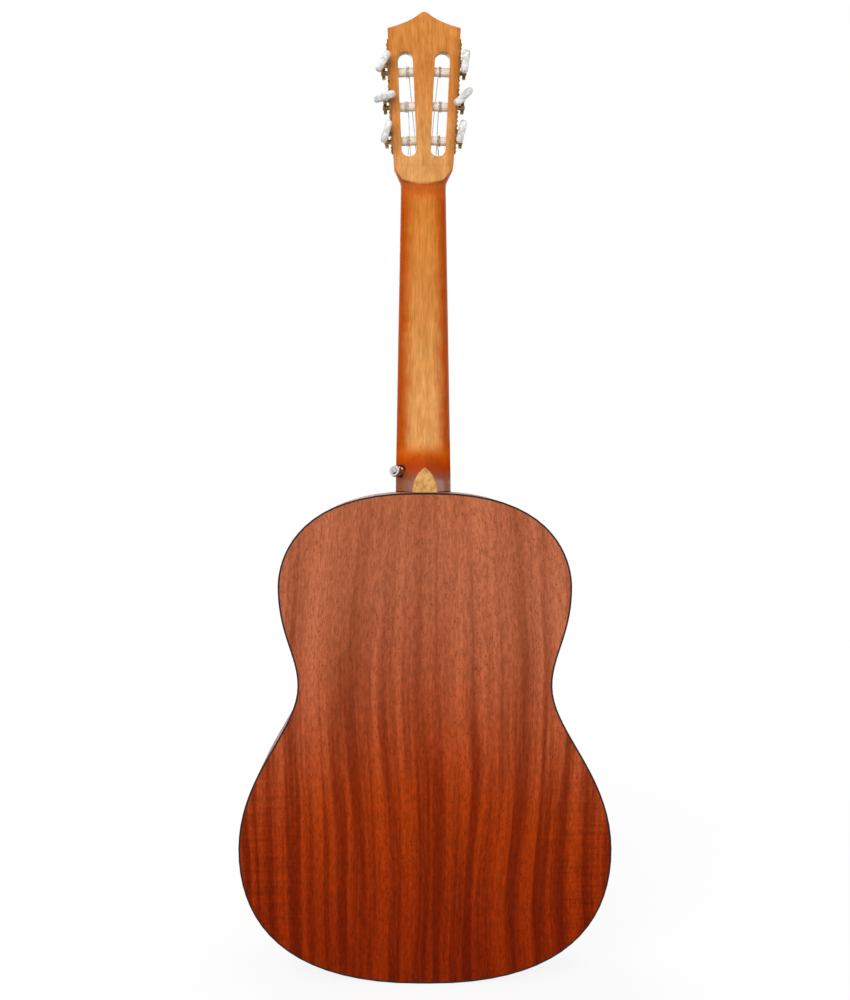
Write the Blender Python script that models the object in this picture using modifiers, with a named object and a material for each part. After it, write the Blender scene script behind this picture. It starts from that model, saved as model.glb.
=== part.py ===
# Classical guitar, built as a maker builds it: box, neck, fittings, tuning machines and strings.
# Metres. In the world +Z runs up the neck, the soundboard faces -Y and the treble side is +X.
# Most pieces are drawn in the plan frame, where the guitar lies on its back: X across towards the
# treble side, Y from the tail to the head, Z out of the soundboard.
import math

import bmesh
import bpy
from mathutils import Matrix, Vector
from mathutils.geometry import interpolate_bezier

# Gap left at a glued or seated face, and at a turning fit; points this near are one point
GLUE = 0.0003
RUNNING_FIT = 0.0003
WELD = 0.00001

# Steps round turned pieces, small holes and large circles
TURNED_STEPS = 12
SMALL_HOLE_STEPS = 10
ROUND_STEPS = 28

# Body outline: widths, where they lie, and how far the curve's handles reach there
BODY_LENGTH = 0.491
LOWER_BOUT_WIDTH = 0.374
LOWER_BOUT_FROM_TAIL = 0.134
WAIST_WIDTH = 0.256
WAIST_FROM_TAIL = 0.297
UPPER_BOUT_WIDTH = 0.296
UPPER_BOUT_FROM_NECK_END = 0.094
TAIL_REACH = 0.134
LOWER_BOUT_REACH_DOWN = 0.074
LOWER_BOUT_REACH_UP = 0.075
WAIST_REACH_DOWN = 0.045
WAIST_REACH_UP = 0.031
UPPER_BOUT_REACH_DOWN = 0.048
UPPER_BOUT_REACH_UP = 0.018
NECK_END_REACH = 0.128
OUTLINE_STEPS = (8, 7, 5, 8)
SHARPEST_MITRE = 0.5

# Box: depth over the rims, wood thicknesses, and the back's cross arch
DEPTH_AT_TAIL = 0.097
DEPTH_AT_NECK = 0.092
SOUNDBOARD_THICKNESS = 0.0025
BACK_THICKNESS = 0.0026
SIDE_THICKNESS = 0.0022
BACK_ARCH_RADIUS = 4.5
BACK_COLUMNS = 6
BINDING_HEIGHT = 0.006
TAIL_STRIP_WIDTH = 0.012
LINING_WIDTH = 0.006
LINING_HEIGHT = 0.014

# Sound hole and rosette
SOUND_HOLE_DIAMETER = 0.086
HOLE_FROM_FRETBOARD = 0.002
ROSETTE_INNER_DIAMETER = 0.095
ROSETTE_OUTER_DIAMETER = 0.125
ROSETTE_DEPTH = 0.0008

# Blocks, bars and braces inside the box
NECK_BLOCK_WIDTH = 0.064
NECK_BLOCK_LENGTH = 0.045
TAIL_BLOCK_WIDTH = 0.070
TAIL_BLOCK_LENGTH = 0.016
BAR_WIDTH = 0.008
BAR_HEIGHT = 0.016
BAR_FROM_HOLE = 0.012
BACK_BRACE_WIDTH = 0.008
BACK_BRACE_HEIGHT = 0.014
BACK_BRACE_FROM_NECK_BLOCK = 0.041
FAN_COUNT = 7
FAN_WIDTH = 0.006
FAN_HEIGHT = 0.005
FAN_LOW_SPREAD = 0.200
FAN_HIGH_SPREAD = 0.112
FAN_LOW_FROM_TAIL = 0.055
FAN_FROM_BAR = 0.006
PATCH_LENGTH = 0.180
PATCH_MARGIN = 0.003
PATCH_THICKNESS = 0.0015

# Strings and scale
SCALE_LENGTH = 0.655
COMPENSATION = 0.002
STRING_DIAMETERS = (0.00071, 0.00082, 0.00103, 0.00074, 0.00089, 0.00109)
SPACING_AT_NUT = 0.0082
SPACING_AT_SADDLE = 0.0116
HEIGHT_AT_NUT = 0.0018
HEIGHT_AT_SADDLE = 0.0066
WINDING_TURNS = (3, 3, 2, 2, 2, 2)
WINDING_GAP = 0.0006
WINDING_STEPS = 16
WINDING_START = (0.0185, 0.0185, 0.0205, 0.0205, 0.0185, 0.0185)
NUT_BREAK_SHARE = 0.7
# The tie's points: share of its lean, face of the tie block, stands from it, level, radii from that
TIE_SHARES = (
    (1.0, "front", 1.0, "over", -4),
    (1.0, "front", 0.8, "over", -1),
    (1.0, "front", -0.3, "over", 0),
    (1.0, "rear", 0.3, "over", 0),
    (0.9, "rear", -0.9, "over", -1),
    (0.6, "rear", -1.3, "middle", 0),
    (0.2, "rear", -1.1, "hole", 1),
    (0.0, "rear", -0.3, "hole", 0),
    (0.0, "front", 1.0, "hole", 0),
)

# Neck and heel
NUT_WIDTH = 0.049
WIDTH_AT_BODY = 0.060
NECK_DEPTH_AT_NUT = 0.0155
NECK_DEPTH_AT_BODY = 0.018
NECK_ROUNDNESS = 2.4
NECK_STEPS = 14
NECK_RING_SHARES = (0.3, 0.65, 0.97)
TENON_WIDTH = 0.022
TENON_LENGTH = 0.016
HEEL_LENGTH_AT_NECK = 0.062
HEEL_WIDTH_AT_NECK = 0.052
HEEL_SUNK = 0.010
HEEL_FLARE = 2.4
HEEL_SLICE_SHARES = (0.0, 0.08, 0.18, 0.32, 0.55, 1.0)
HEEL_STEPS = 12
HEEL_CAP_LENGTH = 0.025
HEEL_CAP_WIDTH = 0.025
HEEL_CAP_THICKNESS = 0.004

# Fretboard and nut
FRETBOARD_THICKNESS = 0.006
FRET_COUNT = 19
FRET_WIDTH = 0.0022
FRET_HEIGHT = 0.0011
FRETBOARD_PAST_LAST_FRET = 0.004
NUT_THICKNESS = 0.0055
NUT_LIP = 0.0008
NUT_GROOVE_WIDTH = 0.0018

# Head: lengths run along its face from the back of the nut
HEAD_ANGLE = math.radians(12)
HEAD_THICKNESS = 0.018
HEAD_VENEER = 0.002
FLARE_LENGTH = 0.0145
# The flare's rings: place along it, share of the widening, share of the deepening, roundness
NECK_FLARE_SHARES = (
    (0.10, 0.10, 0.45, 2.7),
    (0.38, 0.38, 0.98, 3.4),
    (0.70, 0.70, 0.99, 5.5),
    (1.0, 0.98, 0.99, 14),
    (1.15, 0.98, 0.99, 14),
)
HEAD_WIDTH_AT_FLARE = 0.0635
HEAD_WIDTH_AT_SHOULDER = 0.0765
SHOULDER_FROM_NUT = 0.1577
CREST_HEIGHT = 0.0160
# The crest's curve from shoulder to peak, as shares of the half width and of the height
CREST_SHARES = ((1, 0), (0.66, 0.22), (0.36, 0.44), (0.095, 0.93))
CREST_STEPS = 7
SLOT_START = 0.0278
SLOT_END = 0.1338
SLOT_WIDTH = 0.016
SLOT_RAIL = 0.0093
SLOT_END_STEPS = 6
RAMP_LENGTH = 0.020
RAMP_DEPTH = 0.006
RAMP_WIDTH = 0.011

# Tuning machines
FIRST_ROLLER = 0.0442
ROLLER_SPACING = 0.035
ROLLER_DEPTH = 0.0085
ROLLER_DIAMETER = 0.0096
ROLLER_SEAT = 0.005
POST_DIAMETER = 0.005
GEAR_TEETH = 14
GEAR_PITCH_RADIUS = 0.006
GEAR_FACE = 0.0036
GEAR_STANDOFF = 0.0044
WORM_PITCH_RADIUS = 0.0032
WORM_THREAD_LENGTH = 0.0080
WORM_TURN_STEPS = 10
TOOTH_SHARE = 0.40
ADDENDUM = 0.00065
DEDENDUM = 0.00085
FLANK_SLOPE = math.tan(math.radians(20))
MESH_CLEARANCE = 0.0001
SHAFT_DIAMETER = 0.003
PLATE_THICKNESS = 0.0012
PLATE_WIDTH = 0.017
PLATE_BELOW_ROLLERS = 0.013
PLATE_ABOVE_ROLLERS = 0.0345
PLATE_POINT = 0.0065
# Where a plate's point bends, as shares of its length and of the half width
PLATE_BEND_SHARES = (0.35, 0.45)
EAR_THICKNESS = 0.0016
EAR_WIDTH = 0.0064
EAR_WALL = 0.0016
# Where an ear's shoulder starts, and how wide its top is, as shares
EAR_SHOULDER_SHARE = 0.3
EAR_TOP_SHARE = 0.45
BUTTON_LENGTH = 0.016
BUTTON_WIDTH = 0.024
BUTTON_THICKNESS = 0.0076
BUTTON_COLLAR = 0.0076
BUTTON_CLEARANCE = 0.0015
BUTTON_SOCKET = 0.006
BUTTON_ROUNDING = 0.0018
BUTTON_ROUNDING_ANGLE = math.radians(60)
# A paddle's edge past its collar, as shares of the half width and of the length
BUTTON_EDGE_SHARES = ((0.72, 0.30), (0.97, 0.50), (1, 0.72), (0.80, 0.93), (0.45, 1))
BUTTON_COLLAR_SHARE = 0.14
BUTTON_TURNS = (20, 75, 35, 4, 45, 10)

# Bridge and saddle: lengths along Y from the saddle's middle
BRIDGE_LENGTH = 0.186
BRIDGE_CENTRE_LENGTH = 0.084
BRIDGE_FRONT = 0.0075
BRIDGE_BACK = 0.0205
BRIDGE_HEIGHT = 0.008
BRIDGE_FRONT_EDGE = 0.003
WING_HEIGHT = 0.0032
WING_STEP = 0.0005
TIE_BLOCK_HEIGHT = 0.009
TIE_BLOCK_START = 0.008
TIE_HOLE_HEIGHT = 0.0055
TIE_HOLE_DIAMETER = 0.0024
CHANNEL_START = 0.004
CHANNEL_FLOOR = 0.004
SADDLE_THICKNESS = 0.0026
SADDLE_LENGTH = 0.080
SADDLE_SEAT = 0.003

# Strap button on the treble side of the heel
STRAP_BUTTON_ABOVE_BODY = 0.022
STRAP_BUTTON_TILT = math.radians(56)
# The screw's line crosses the neck at these shares of its half width and of its depth
STRAP_BUTTON_ACROSS_SHARE = 0.78
STRAP_BUTTON_DOWN_SHARE = 0.73
STRAP_BUTTON_HEIGHT = 0.012
# The button's side: which width, share of it, share of the height
STRAP_BUTTON_SHARES = (
    ("flange", 0.8, 1.0),
    ("flange", 1.0, 0.9),
    ("flange", 1.0, 0.8),
    ("neck", 1.0, 0.6),
    ("neck", 1.0, 0.3),
    ("base", 1.0, 0.0),
)
STRAP_FLANGE_DIAMETER = 0.013
STRAP_NECK_DIAMETER = 0.007
STRAP_BASE_DIAMETER = 0.010
STRAP_WASHER_DIAMETER = 0.014
STRAP_WASHER_THICKNESS = 0.0015
STRAP_SCREW_DIAMETER = 0.0035
STRAP_SCREW_HEAD = 0.007
STRAP_SCREW_HEAD_HEIGHT = 0.0024
STRAP_SCREW_FLAT_SHARE = 0.6
STRAP_SCREW_LENGTH = 0.024

# Finishes: colour, roughness, metallic
FINISHES = {
    "ribbon_mahogany": ((0.30, 0.09, 0.035), 0.25, 0.0),
    "amber_mahogany": ((0.50, 0.22, 0.06), 0.25, 0.0),
    "spruce": ((0.75, 0.52, 0.25), 0.30, 0.0),
    "bare_spruce": ((0.70, 0.55, 0.36), 0.70, 0.0),
    "rosewood": ((0.06, 0.025, 0.015), 0.45, 0.0),
    "black_binding": ((0.01, 0.01, 0.01), 0.30, 0.0),
    "bone": ((0.85, 0.80, 0.68), 0.40, 0.0),
    "heel_cap_maple": ((0.62, 0.42, 0.22), 0.30, 0.0),
    "rosette_mosaic": ((0.25, 0.12, 0.06), 0.40, 0.0),
    "aged_brass": ((0.45, 0.30, 0.12), 0.35, 1.0),
    "pearl_plastic": ((0.85, 0.84, 0.80), 0.25, 0.0),
    "cream_plastic": ((0.85, 0.80, 0.68), 0.35, 0.0),
    "chrome": ((0.75, 0.75, 0.75), 0.15, 1.0),
    "black_felt": ((0.02, 0.02, 0.02), 0.95, 0.0),
    "clear_nylon": ((0.80, 0.80, 0.76), 0.25, 0.0),
    "wound_silver": ((0.60, 0.58, 0.55), 0.35, 1.0),
}

# Places that follow from the driving dimensions
FRONT = DEPTH_AT_TAIL / 2
INSIDE_FRONT = FRONT - SOUNDBOARD_THICKNESS
BINDING_INSET = SIDE_THICKNESS + GLUE
NUT_AT = BODY_LENGTH + SCALE_LENGTH / 2
SADDLE_AT = NUT_AT - SCALE_LENGTH - COMPENSATION
HEAD_AT = NUT_AT + NUT_THICKNESS + GLUE
FRETBOARD_TOP = FRONT + GLUE + FRETBOARD_THICKNESS
LAST_FRET_AT = NUT_AT - SCALE_LENGTH * (1 - 2 ** (-FRET_COUNT / 12))
FRETBOARD_END = LAST_FRET_AT - FRETBOARD_PAST_LAST_FRET
SOUND_HOLE_AT = FRETBOARD_END - HOLE_FROM_FRETBOARD - SOUND_HOLE_DIAMETER / 2
HEEL_BOTTOM_GAP = HEEL_CAP_THICKNESS + GLUE
BACK_BRACE_AT = {
    "upper": BODY_LENGTH - NECK_BLOCK_LENGTH - BACK_BRACE_FROM_NECK_BLOCK,
    "middle": WAIST_FROM_TAIL,
    "lower": LOWER_BOUT_FROM_TAIL,
}
STRINGS = range(1, len(STRING_DIAMETERS) + 1)
CIRCULAR_PITCH = 2 * math.pi * GEAR_PITCH_RADIUS / GEAR_TEETH
GEAR_CENTRE = GEAR_STANDOFF + GEAR_FACE / 2
WORM_OFFSET = GEAR_PITCH_RADIUS + WORM_PITCH_RADIUS + MESH_CLEARANCE
EAR_INNER = WORM_THREAD_LENGTH / 2 + 2 * RUNNING_FIT
EAR_OUTER = EAR_INNER + EAR_THICKNESS
HEAD_BACK = HEAD_THICKNESS - ROLLER_DEPTH
SLOT_CENTRE = SLOT_RAIL + SLOT_WIDTH / 2
HEAD_TAPER = math.atan2(
    (HEAD_WIDTH_AT_SHOULDER - HEAD_WIDTH_AT_FLARE) / 2, SHOULDER_FROM_NUT - FLARE_LENGTH
)

for old in list(bpy.data.objects):
    bpy.data.objects.remove(old)

guitar = bpy.data.collections.new("classical_guitar")
cutters = bpy.data.collections.new("cutters")
bpy.context.scene.collection.children.link(guitar)
bpy.context.scene.collection.children.link(cutters)


def finish(name):
    if name in bpy.data.materials:
        return bpy.data.materials[name]
    colour, roughness, metallic = FINISHES[name]
    made = bpy.data.materials.new(name)
    made.use_nodes = True
    shader = made.node_tree.nodes["Principled BSDF"]
    shader.inputs["Base Color"].default_value = (*colour, 1.0)
    shader.inputs["Roughness"].default_value = roughness
    shader.inputs["Metallic"].default_value = metallic
    return made


def frame(name, parent, matrix):
    """An empty that holds the axes that pieces are drawn in."""
    made = bpy.data.objects.new(name, None)
    guitar.objects.link(made)
    made.parent = parent
    made.matrix_local = matrix
    return made


def piece(name, data, finish_name, parent, matrix=Matrix.Identity(4)):
    made = bpy.data.objects.new(name, data)
    guitar.objects.link(made)
    data.materials.append(finish(finish_name))
    made.parent = parent
    made.matrix_local = matrix
    return made


def cutter(name, data, parent, matrix=Matrix.Identity(4)):
    made = bpy.data.objects.new(name, data)
    cutters.objects.link(made)
    made.parent = parent
    made.matrix_local = matrix
    made.hide_render = True
    made.display_type = "WIRE"
    return made


def boolean(target, other, operation):
    step = target.modifiers.new(other.name, "BOOLEAN")
    step.operation = operation
    step.object = other
    step.solver = "EXACT"


def mesh_of(name, shape):
    made = bpy.data.meshes.new(name)
    shape.to_mesh(made)
    shape.free()
    return made


def outline_mesh(name, loops, low, high):
    """A flat plate between two heights, from its outer loop and the loops of its holes."""
    curve = bpy.data.curves.new(name, "CURVE")
    curve.dimensions = "2D"
    curve.fill_mode = "BOTH"
    curve.extrude = (high - low) / 2
    for loop in loops:
        spline = curve.splines.new("POLY")
        spline.points.add(len(loop) - 1)
        spline.use_cyclic_u = True
        for point, (x, y) in zip(spline.points, loop):
            point.co = (x, y, 0, 1)
    holder = bpy.data.objects.new(name + "_outline", curve)
    bpy.context.scene.collection.objects.link(holder)
    graph = bpy.context.evaluated_depsgraph_get()
    made = bpy.data.meshes.new_from_object(holder.evaluated_get(graph))
    made.name = name
    bpy.data.objects.remove(holder)
    shape = bmesh.new()
    shape.from_mesh(made)
    bmesh.ops.translate(shape, verts=shape.verts, vec=(0, 0, (high + low) / 2))
    bmesh.ops.remove_doubles(shape, verts=shape.verts, dist=WELD)
    bmesh.ops.recalc_face_normals(shape, faces=shape.faces)
    shape.to_mesh(made)
    shape.free()
    return made


def box_mesh(name, low, high):
    shape = bmesh.new()
    bmesh.ops.create_cube(shape, size=1)
    size = Vector(high) - Vector(low)
    middle = (Vector(high) + Vector(low)) / 2
    bmesh.ops.scale(shape, vec=size, verts=shape.verts)
    bmesh.ops.translate(shape, vec=middle, verts=shape.verts)
    return mesh_of(name, shape)


def rod_mesh(name, radius, low, high, steps=TURNED_STEPS):
    """A cylinder on Z between two heights."""
    shape = bmesh.new()
    bmesh.ops.create_cone(
        shape, cap_ends=True, segments=steps, radius1=radius, radius2=radius, depth=high - low
    )
    bmesh.ops.translate(shape, vec=(0, 0, (high + low) / 2), verts=shape.verts)
    return mesh_of(name, shape)


def turned(name, profile, closed, finish_name, parent, matrix):
    """A shape turned about Z from (radius, height) points that run down its outer side."""
    shape = bmesh.new()
    points = [shape.verts.new((radius, 0, height)) for radius, height in profile]
    for first, second in zip(points, points[1:]):
        shape.edges.new((first, second))
    if closed:
        shape.edges.new((points[-1], points[0]))
    made = piece(name, mesh_of(name, shape), finish_name, parent, matrix)
    screw = made.modifiers.new("turn", "SCREW")
    screw.steps = TURNED_STEPS
    screw.render_steps = TURNED_STEPS
    screw.use_merge_vertices = True
    screw.merge_threshold = WELD
    return made


def loft_mesh(name, rings):
    """A closed solid through rings that have as many points each."""
    shape = bmesh.new()
    rows = [[shape.verts.new(point) for point in ring] for ring in rings]
    count = len(rows[0])
    for lower, upper in zip(rows, rows[1:]):
        for index in range(count):
            after = (index + 1) % count
            shape.faces.new((lower[index], lower[after], upper[after], upper[index]))
    shape.faces.new(rows[0])
    shape.faces.new(rows[-1])
    bmesh.ops.recalc_face_normals(shape, faces=shape.faces)
    return mesh_of(name, shape)


def joined_mesh(name, meshes, matrices):
    shape = bmesh.new()
    for mesh, matrix in zip(meshes, matrices):
        part = mesh.copy()
        part.transform(matrix)
        shape.from_mesh(part)
        bpy.data.meshes.remove(part)
    return mesh_of(name, shape)


def circle(radius, centre=(0, 0), steps=ROUND_STEPS):
    turns = [2 * math.pi * index / steps for index in range(steps)]
    return [(centre[0] + radius * math.cos(turn), centre[1] + radius * math.sin(turn)) for turn in turns]


def mirrored(points):
    return [(-x, y) for x, y in points]


def back_rim(y):
    return -FRONT + (DEPTH_AT_TAIL - DEPTH_AT_NECK) * y / BODY_LENGTH


def half_outline():
    """The treble half of the body's edge, from the tail strip to the neck joint."""
    lower = LOWER_BOUT_WIDTH / 2
    waist = WAIST_WIDTH / 2
    upper = UPPER_BOUT_WIDTH / 2
    upper_at = BODY_LENGTH - UPPER_BOUT_FROM_NECK_END
    tail = TAIL_STRIP_WIDTH / 2
    joint = TENON_WIDTH / 2
    arcs = (
        ((tail, 0), (tail + TAIL_REACH, 0),
         (lower, LOWER_BOUT_FROM_TAIL - LOWER_BOUT_REACH_DOWN), (lower, LOWER_BOUT_FROM_TAIL)),
        ((lower, LOWER_BOUT_FROM_TAIL), (lower, LOWER_BOUT_FROM_TAIL + LOWER_BOUT_REACH_UP),
         (waist, WAIST_FROM_TAIL - WAIST_REACH_DOWN), (waist, WAIST_FROM_TAIL)),
        ((waist, WAIST_FROM_TAIL), (waist, WAIST_FROM_TAIL + WAIST_REACH_UP),
         (upper, upper_at - UPPER_BOUT_REACH_DOWN), (upper, upper_at)),
        ((upper, upper_at), (upper, upper_at + UPPER_BOUT_REACH_UP),
         (joint + NECK_END_REACH, BODY_LENGTH), (joint, BODY_LENGTH)),
    )
    points = []
    for arc, steps in zip(arcs, OUTLINE_STEPS):
        knots = [Vector((x, y, 0)) for x, y in arc]
        points += [(point.x, point.y) for point in interpolate_bezier(*knots, steps + 1)[:-1]]
    points.append((joint, BODY_LENGTH))
    return points


def inset_outline(inset):
    """The half outline moved inwards by the same distance all along."""
    edge = half_outline()
    path = [(-edge[0][0], edge[0][1])] + edge + [(-edge[-1][0], edge[-1][1])]
    moved = []
    for before, point, after in zip(path, path[1:], path[2:]):
        arriving = (Vector(point) - Vector(before)).normalized()
        leaving = (Vector(after) - Vector(point)).normalized()
        bisector = (arriving + leaving).normalized()
        inward = Vector((-bisector.y, bisector.x))
        shift = inward * inset / max(SHARPEST_MITRE, bisector.dot(leaving))
        moved.append((point[0] + shift.x, point[1] + shift.y))
    return moved


def closed_outline(inset):
    half = inset_outline(inset)
    return half + mirrored(half)[::-1]


def width_at(half, y):
    """Half the width of a half outline at a distance from the tail."""
    for (x0, y0), (x1, y1) in zip(half, half[1:]):
        if y0 <= y <= y1:
            return x0 + (x1 - x0) * (y - y0) / (y1 - y0)
    return half[-1][0]


def edge_at(half, x):
    """Where a half outline's neck end is, at a distance from the middle line."""
    for (x0, y0), (x1, y1) in zip(half[::-1], half[-2::-1]):
        if x0 <= x <= x1:
            return y0 + (y1 - y0) * (x - x0) / (x1 - x0)
    return half[-1][1]


def tail_at(half, x):
    for (x0, y0), (x1, y1) in zip(half, half[1:]):
        if x0 <= x <= x1:
            return y0 + (y1 - y0) * (x - x0) / (x1 - x0)
    return half[0][1]


def trimmed(half, x):
    """A half outline that stops where its neck end comes within x of the middle line."""
    kept = [point for point in half if point[0] > x or point[1] < BODY_LENGTH / 2]
    return kept + [(x, edge_at(half, x))]


def band_mesh(name, outer, inner, front, back):
    """A bent strip between two paths, its back edge on a height that depends on Y."""
    mesh = outline_mesh(name, [outer + inner[::-1]], 0, 1)
    for vertex in mesh.vertices:
        place = vertex.co
        place.z = front if place.z > 0.5 else back(place.y)
    return mesh


plan = frame("plan", None, Matrix.Rotation(math.pi / 2, 4, "X"))
head = frame(
    "head", plan, Matrix.Translation((0, HEAD_AT, FRONT)) @ Matrix.Rotation(-HEAD_ANGLE, 4, "X")
)
# Axes for a profile drawn across the guitar, and for one drawn along it
ACROSS = Matrix.Rotation(math.pi / 2, 4, "X")
ALONG = Matrix(((0, 0, 1, 0), (1, 0, 0, 0), (0, 1, 0, 0), (0, 0, 0, 1)))


def make_soundboard():
    hole = circle(SOUND_HOLE_DIAMETER / 2, (0, SOUND_HOLE_AT))
    mesh = outline_mesh("soundboard", [closed_outline(BINDING_INSET), hole], INSIDE_FRONT, FRONT)
    board = piece("soundboard", mesh, "spruce", plan)
    ring = [
        circle(ROSETTE_OUTER_DIAMETER / 2 + GLUE, (0, SOUND_HOLE_AT)),
        circle(ROSETTE_INNER_DIAMETER / 2 - GLUE, (0, SOUND_HOLE_AT)),
    ]
    groove = outline_mesh("rosette_groove", ring, FRONT - ROSETTE_DEPTH - GLUE, FRONT + ROSETTE_DEPTH)
    boolean(board, cutter("rosette_groove", groove, plan), "DIFFERENCE")


def make_rosette():
    ring = [
        circle(ROSETTE_OUTER_DIAMETER / 2, (0, SOUND_HOLE_AT)),
        circle(ROSETTE_INNER_DIAMETER / 2, (0, SOUND_HOLE_AT)),
    ]
    mesh = outline_mesh("rosette", ring, FRONT - ROSETTE_DEPTH, FRONT)
    piece("rosette", mesh, "rosette_mosaic", plan)


def arch(half_width, x):
    """How far the back swells past its rim."""
    return (half_width ** 2 - x ** 2) / (2 * BACK_ARCH_RADIUS)


def make_back():
    half = inset_outline(BINDING_INSET)
    shape = bmesh.new()
    rows = len(half) - 1
    bmesh.ops.create_grid(shape, x_segments=BACK_COLUMNS, y_segments=rows, size=1)
    for vertex in shape.verts:
        half_width, y = half[round((vertex.co.y + 1) / 2 * rows)]
        x = vertex.co.x * half_width
        vertex.co = (x, y, back_rim(y) - arch(half_width, x))
    bmesh.ops.reverse_faces(shape, faces=shape.faces)
    back = piece("back_plate", mesh_of("back_plate", shape), "ribbon_mahogany", plan)
    thicken = back.modifiers.new("thickness", "SOLIDIFY")
    thicken.thickness = BACK_THICKNESS
    thicken.offset = -1


def make_sides():
    outer = inset_outline(0)
    inner = inset_outline(SIDE_THICKNESS)
    front = FRONT - BINDING_HEIGHT - GLUE

    def back(y):
        return back_rim(y) + BINDING_HEIGHT + GLUE

    treble = band_mesh("side_treble", outer, inner, front, back)
    piece("side_treble", treble, "ribbon_mahogany", plan)
    bass = band_mesh("side_bass", mirrored(outer)[::-1], mirrored(inner)[::-1], front, back)
    piece("side_bass", bass, "ribbon_mahogany", plan)
    half = TAIL_STRIP_WIDTH / 2 - GLUE
    strip = [(-half, 0), (half, 0)]
    strip_back = [(-half, SIDE_THICKNESS), (half, SIDE_THICKNESS)]
    tail = band_mesh("tail_strip", strip, strip_back, front, back)
    piece("tail_strip", tail, "black_binding", plan)


def make_bindings():
    loops = [closed_outline(0), closed_outline(SIDE_THICKNESS)]
    top = outline_mesh("top_binding", loops, FRONT - BINDING_HEIGHT, FRONT)
    piece("top_binding", top, "black_binding", plan)
    rim = outline_mesh("back_binding", loops, 0, BINDING_HEIGHT)
    for vertex in rim.vertices:
        vertex.co.z += back_rim(vertex.co.y)
    piece("back_binding", rim, "black_binding", plan)


def lining_paths():
    outer = trimmed(inset_outline(SIDE_THICKNESS + GLUE), NECK_BLOCK_WIDTH / 2 + GLUE)
    inner = trimmed(inset_outline(SIDE_THICKNESS + GLUE + LINING_WIDTH), NECK_BLOCK_WIDTH / 2 + GLUE)
    return outer[::-1] + mirrored(outer), inner[::-1] + mirrored(inner)


def make_linings():
    outer, inner = lining_paths()
    front = INSIDE_FRONT - GLUE
    top = band_mesh("top_lining", outer, inner, front, lambda y: front - LINING_HEIGHT)
    piece("top_lining", top, "bare_spruce", plan)
    rim = outline_mesh("back_lining", [outer + inner[::-1]], 0, LINING_HEIGHT)
    for vertex in rim.vertices:
        vertex.co.z += back_rim(vertex.co.y) + BACK_THICKNESS + GLUE
    piece("back_lining", rim, "bare_spruce", plan)


def make_blocks():
    inside = inset_outline(SIDE_THICKNESS + GLUE)
    half = NECK_BLOCK_WIDTH / 2
    face = edge_at(inside, half)
    low = back_rim(BODY_LENGTH) + BACK_THICKNESS + GLUE
    mesh = box_mesh("neck_block", (-half, face - NECK_BLOCK_LENGTH, low), (half, face, INSIDE_FRONT - GLUE))
    block = piece("neck_block", mesh, "bare_spruce", plan)
    slack = 2 * GLUE
    side = TENON_WIDTH / 2
    mortise = box_mesh(
        "mortise",
        (-side, BODY_LENGTH - TENON_LENGTH - slack, tenon_low() - slack),
        (side, BODY_LENGTH, INSIDE_FRONT),
    )
    boolean(block, cutter("mortise", mortise, plan), "DIFFERENCE")
    half = TAIL_BLOCK_WIDTH / 2
    face = tail_at(inside, half)
    reach = LINING_HEIGHT + 2 * GLUE
    low = back_rim(face + TAIL_BLOCK_LENGTH) + BACK_THICKNESS + reach
    mesh = box_mesh(
        "tail_block", (-half, face, low), (half, face + TAIL_BLOCK_LENGTH, INSIDE_FRONT - reach)
    )
    piece("tail_block", mesh, "bare_spruce", plan)


def make_harmonic_bars():
    inside = inset_outline(SIDE_THICKNESS + LINING_WIDTH + 2 * GLUE)
    high = INSIDE_FRONT - GLUE
    reach = SOUND_HOLE_DIAMETER / 2 + BAR_FROM_HOLE + BAR_WIDTH / 2
    for name, y in (("upper", SOUND_HOLE_AT + reach), ("lower", SOUND_HOLE_AT - reach)):
        ends = [width_at(inside, y + side * BAR_WIDTH / 2) for side in (-1, 1)]
        half = min(ends) - GLUE
        low = (-half, y - BAR_WIDTH / 2, high - BAR_HEIGHT)
        mesh = box_mesh(name + "_harmonic_bar", low, (half, y + BAR_WIDTH / 2, high))
        piece(name + "_harmonic_bar", mesh, "bare_spruce", plan)


def make_back_braces():
    inside = inset_outline(SIDE_THICKNESS + LINING_WIDTH + 2 * GLUE)
    plate = inset_outline(BINDING_INSET)
    for name, y in BACK_BRACE_AT.items():
        edges = (y - BACK_BRACE_WIDTH / 2, y + BACK_BRACE_WIDTH / 2)
        half = min(width_at(inside, edge) for edge in edges) - GLUE
        foot = []
        for index in range(BACK_COLUMNS + 1):
            x = half * (2 * index / BACK_COLUMNS - 1)
            seats = [back_rim(edge) - arch(width_at(plate, edge), x) for edge in edges]
            foot.append((x, max(seats) + BACK_THICKNESS + 2 * GLUE))
        top = back_rim(y) + BACK_THICKNESS + BACK_BRACE_HEIGHT
        outline = foot + [(half, top), (-half, top)]
        mesh = outline_mesh("back_brace_" + name, [outline], -BACK_BRACE_WIDTH / 2, BACK_BRACE_WIDTH / 2)
        place = Matrix.Translation((0, y, 0)) @ ACROSS
        piece("back_brace_" + name, mesh, "bare_spruce", plan, place)


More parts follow.
